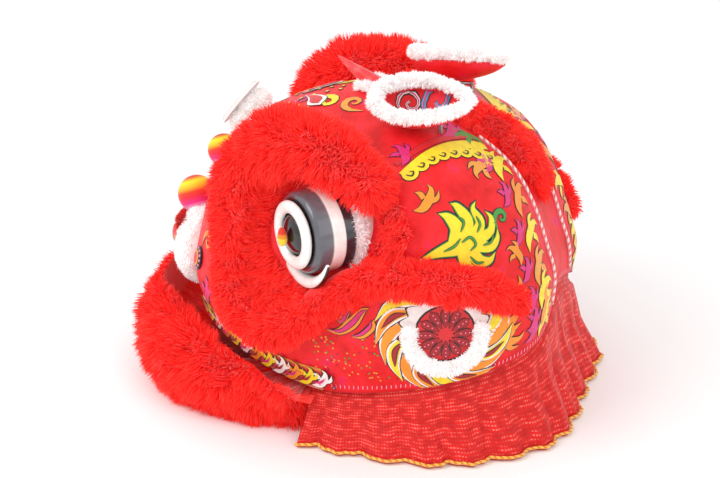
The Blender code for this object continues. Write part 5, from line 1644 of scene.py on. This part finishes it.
skirtForm = {
    "first": 2.80, "gathers": 18, "fold": 0.009, "flare": 0.046, "wall": 0.002, "tuck": 0.012, "seat": 0.0032,
    "levels": ((0.92, 0.00, 0.00), (0.50, 0.28, 0.60), (0.10, 0.94, 1.00), (0.0, 1.0, 1.0)),
    "hemRadius": 0.0025, "hemHeight": 0.007,
    # the flared strip it is cut as: hem length, height at the back and area, read along the shaped cloth
    "cut": (1.292, 0.217), "cutArea": 0.1705,
}


def makeSkirt():
    # knit cloth gathered on the rim: a cosine of gathers grows down its height, with a slower wave and
    # small puckers laid over it, and its foot stands on the floor
    look = skirtForm
    columns, rows = 400, 30
    place = np.linspace(0, 1, columns)
    section = look["first"] + (12 - 2 * look["first"]) * place
    rim = shellPoint(section, np.zeros(columns))
    outward = rim - np.array([0.0, headForm["middleY"], 0.0])
    outward[:, 2] = 0.0
    outward = unit(outward)
    turn = 2 * math.pi * look["gathers"] * place
    wave = (1.6 * np.abs(np.cos(turn / 2)) ** 1.3 - 0.75) * 0.85 + 0.10 * np.cos(turn * 2.7 + 1.3) + 0.05 * np.cos(turn * 0.37)
    down = np.linspace(0, 1, rows)
    level = 1 - down
    knots = np.array([(1.0, 0.0, 0.0)] + list(look["levels"]))[::-1]
    flare = np.interp(level, knots[:, 0], knots[:, 1])
    fold = np.interp(level, knots[:, 0], knots[:, 2])
    inset = (headForm["wall"] + look["wall"] / 2 + look["seat"]) * np.clip((level - 0.86) / 0.06, 0, 1)
    reach = flare[None] * look["flare"] + fold[None] * look["fold"] * wave[:, None] - inset[None]
    reach = reach + 0.0010 * np.sin(turn[:, None] * 3.1 + level[None] * 9) * fold[None]
    points = rim[:, None] + outward[:, None] * reach[..., None]
    points[..., 2] = rim[:, 2:] * level[None]
    points[..., 2] += np.where(level > 0.97, look["tuck"] * (level - 0.97) / 0.03, 0.0)[None]
    points[..., 2] = np.maximum(points[..., 2], 0.0008)
    flatX = np.concatenate([[0], np.cumsum(np.linalg.norm(np.diff(points[:, -1], axis=0), axis=1))])
    flatY = np.concatenate([[0], np.cumsum(np.linalg.norm(np.diff(points[columns // 2], axis=0), axis=1))])
    thick = look["wall"] * 0.35
    sideways = unit(np.cross(np.gradient(points, axis=0), np.gradient(points, axis=1)))
    if (sideways * outward[:, None]).sum() < 0:
        sideways = -sideways
    loop = np.concatenate([points + sideways * thick, (points - sideways * thick)[:, ::-1]], 1)
    loop[..., 2] = np.maximum(loop[..., 2], 0.0006)
    piece = tubePiece("neckSkirt", loop, slot="knit_cloth", look="knit")
    flat = np.stack(np.broadcast_arrays(flatX[:, None], np.concatenate([flatY, flatY[::-1]])[None]), -1).reshape(-1, 2)
    layFlat(piece, np.vstack([flat, flat[:1], flat[-1:]]))
    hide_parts("neck_skirt")
    foot = points[:, -1] + outward * (look["wall"] / 2 + look["hemRadius"] + 0.0004)
    foot[:, 2] = look["hemHeight"]
    hem = cordPiece("hemPiping", foot, np.tile((0.0, 0.0, 1.0), (columns, 1)), look["hemRadius"], "goldCord", "gold_piping")
    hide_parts("hem_piping")


for side in sides:
    makePiping(*side)
    makeLipTrim(*side)
makeSkirt()
print("trim and skirt made")

# CAD nodes whose shape is right take a better material

def dressNodes():
    for names, look in (
        (("jaw_board",), "lining"), (("jaw_pin_left", "jaw_pin_right", "ear_pin_left", "ear_pin_right"), "steel"),
    ):
        for name in names:
            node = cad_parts[name]
            for slot in node.material_slots:
                slot.material = looks[look]


dressNodes()

cameraPlace = {"azimuth": 107.4, "elevation": 24.1, "distance": 3.0, "lens": 89.9, "right": -0.017, "up": 0.208}


def makeCamera():  # looks at the head from the photograph's side and height
    a = math.radians(cameraPlace["azimuth"])
    e = math.radians(cameraPlace["elevation"])
    back = np.array([math.sin(a) * math.cos(e), -math.cos(a) * math.cos(e), math.sin(e)])
    right = np.array([math.cos(a), math.sin(a), 0.0])
    up = np.array([-math.sin(a) * math.sin(e), math.cos(a) * math.sin(e), math.cos(e)])
    lens = bpy.data.cameras.new("photoCamera")
    lens.lens = cameraPlace["lens"]
    lens.sensor_width = 36.0
    camera = bpy.data.objects.new("photoCamera", lens)
    bpy.context.scene.collection.objects.link(camera)
    camera.location = right * cameraPlace["right"] + up * cameraPlace["up"] + back * cameraPlace["distance"]
    camera.rotation_euler = (math.pi / 2 - e, 0.0, a)
    bpy.context.scene.camera = camera


studio = {"world": 1.0, "key": 30.0, "fill": 10.0, "floor": "#FAFAFA"}


def makeLight(name, place, size, power):  # a square soft light that faces the head
    light = bpy.data.lights.new(name, "AREA")
    light.size = size
    light.energy = power
    lamp = bpy.data.objects.new(name, light)
    bpy.context.scene.collection.objects.link(lamp)
    lamp.location = place
    toward = np.array([0.0, 0.0, 0.22]) - np.array(place)
    yaw = math.atan2(toward[1], toward[0])
    lamp.rotation_euler = (0.0, math.pi / 2 + math.asin(toward[2] / np.linalg.norm(toward)) * -1.0, yaw)
    lamp.rotation_euler = (math.acos(-toward[2] / np.linalg.norm(toward)), 0.0, yaw - math.pi / 2)


def makeStudio():  # a pale floor and plain soft light
    world = bpy.data.worlds.new("studio")
    bpy.context.scene.world = world
    world.use_nodes = True
    world.node_tree.nodes["Background"].inputs["Color"].default_value = (1.0, 1.0, 1.0, 1.0)
    world.node_tree.nodes["Background"].inputs["Strength"].default_value = studio["world"]
    makeLight("keyLight", (1.5, -1.5, 2.3), 1.6, studio["key"])
    makeLight("fillLight", (1.8, 1.9, 1.6), 2.0, studio["fill"])
    mesh = bpy.data.meshes.new("studioFloor")
    reach = 6.0
    mesh.from_pydata([(-reach, -reach, 0), (reach, -reach, 0), (reach, reach, 0), (-reach, reach, 0)], [], [(0, 1, 2, 3)])
    floor = bpy.data.objects.new("studioFloor", mesh)
    bpy.context.scene.collection.objects.link(floor)
    made, tree, shader = newMaterial("paleFloor", Roughness=0.9)
    shader.inputs["Base Color"].default_value = linear(studio["floor"])
    mesh.materials.append(made)
    bpy.context.scene.view_settings.view_transform = "Standard"


makeCamera()
makeStudio()
print("camera and studio set")
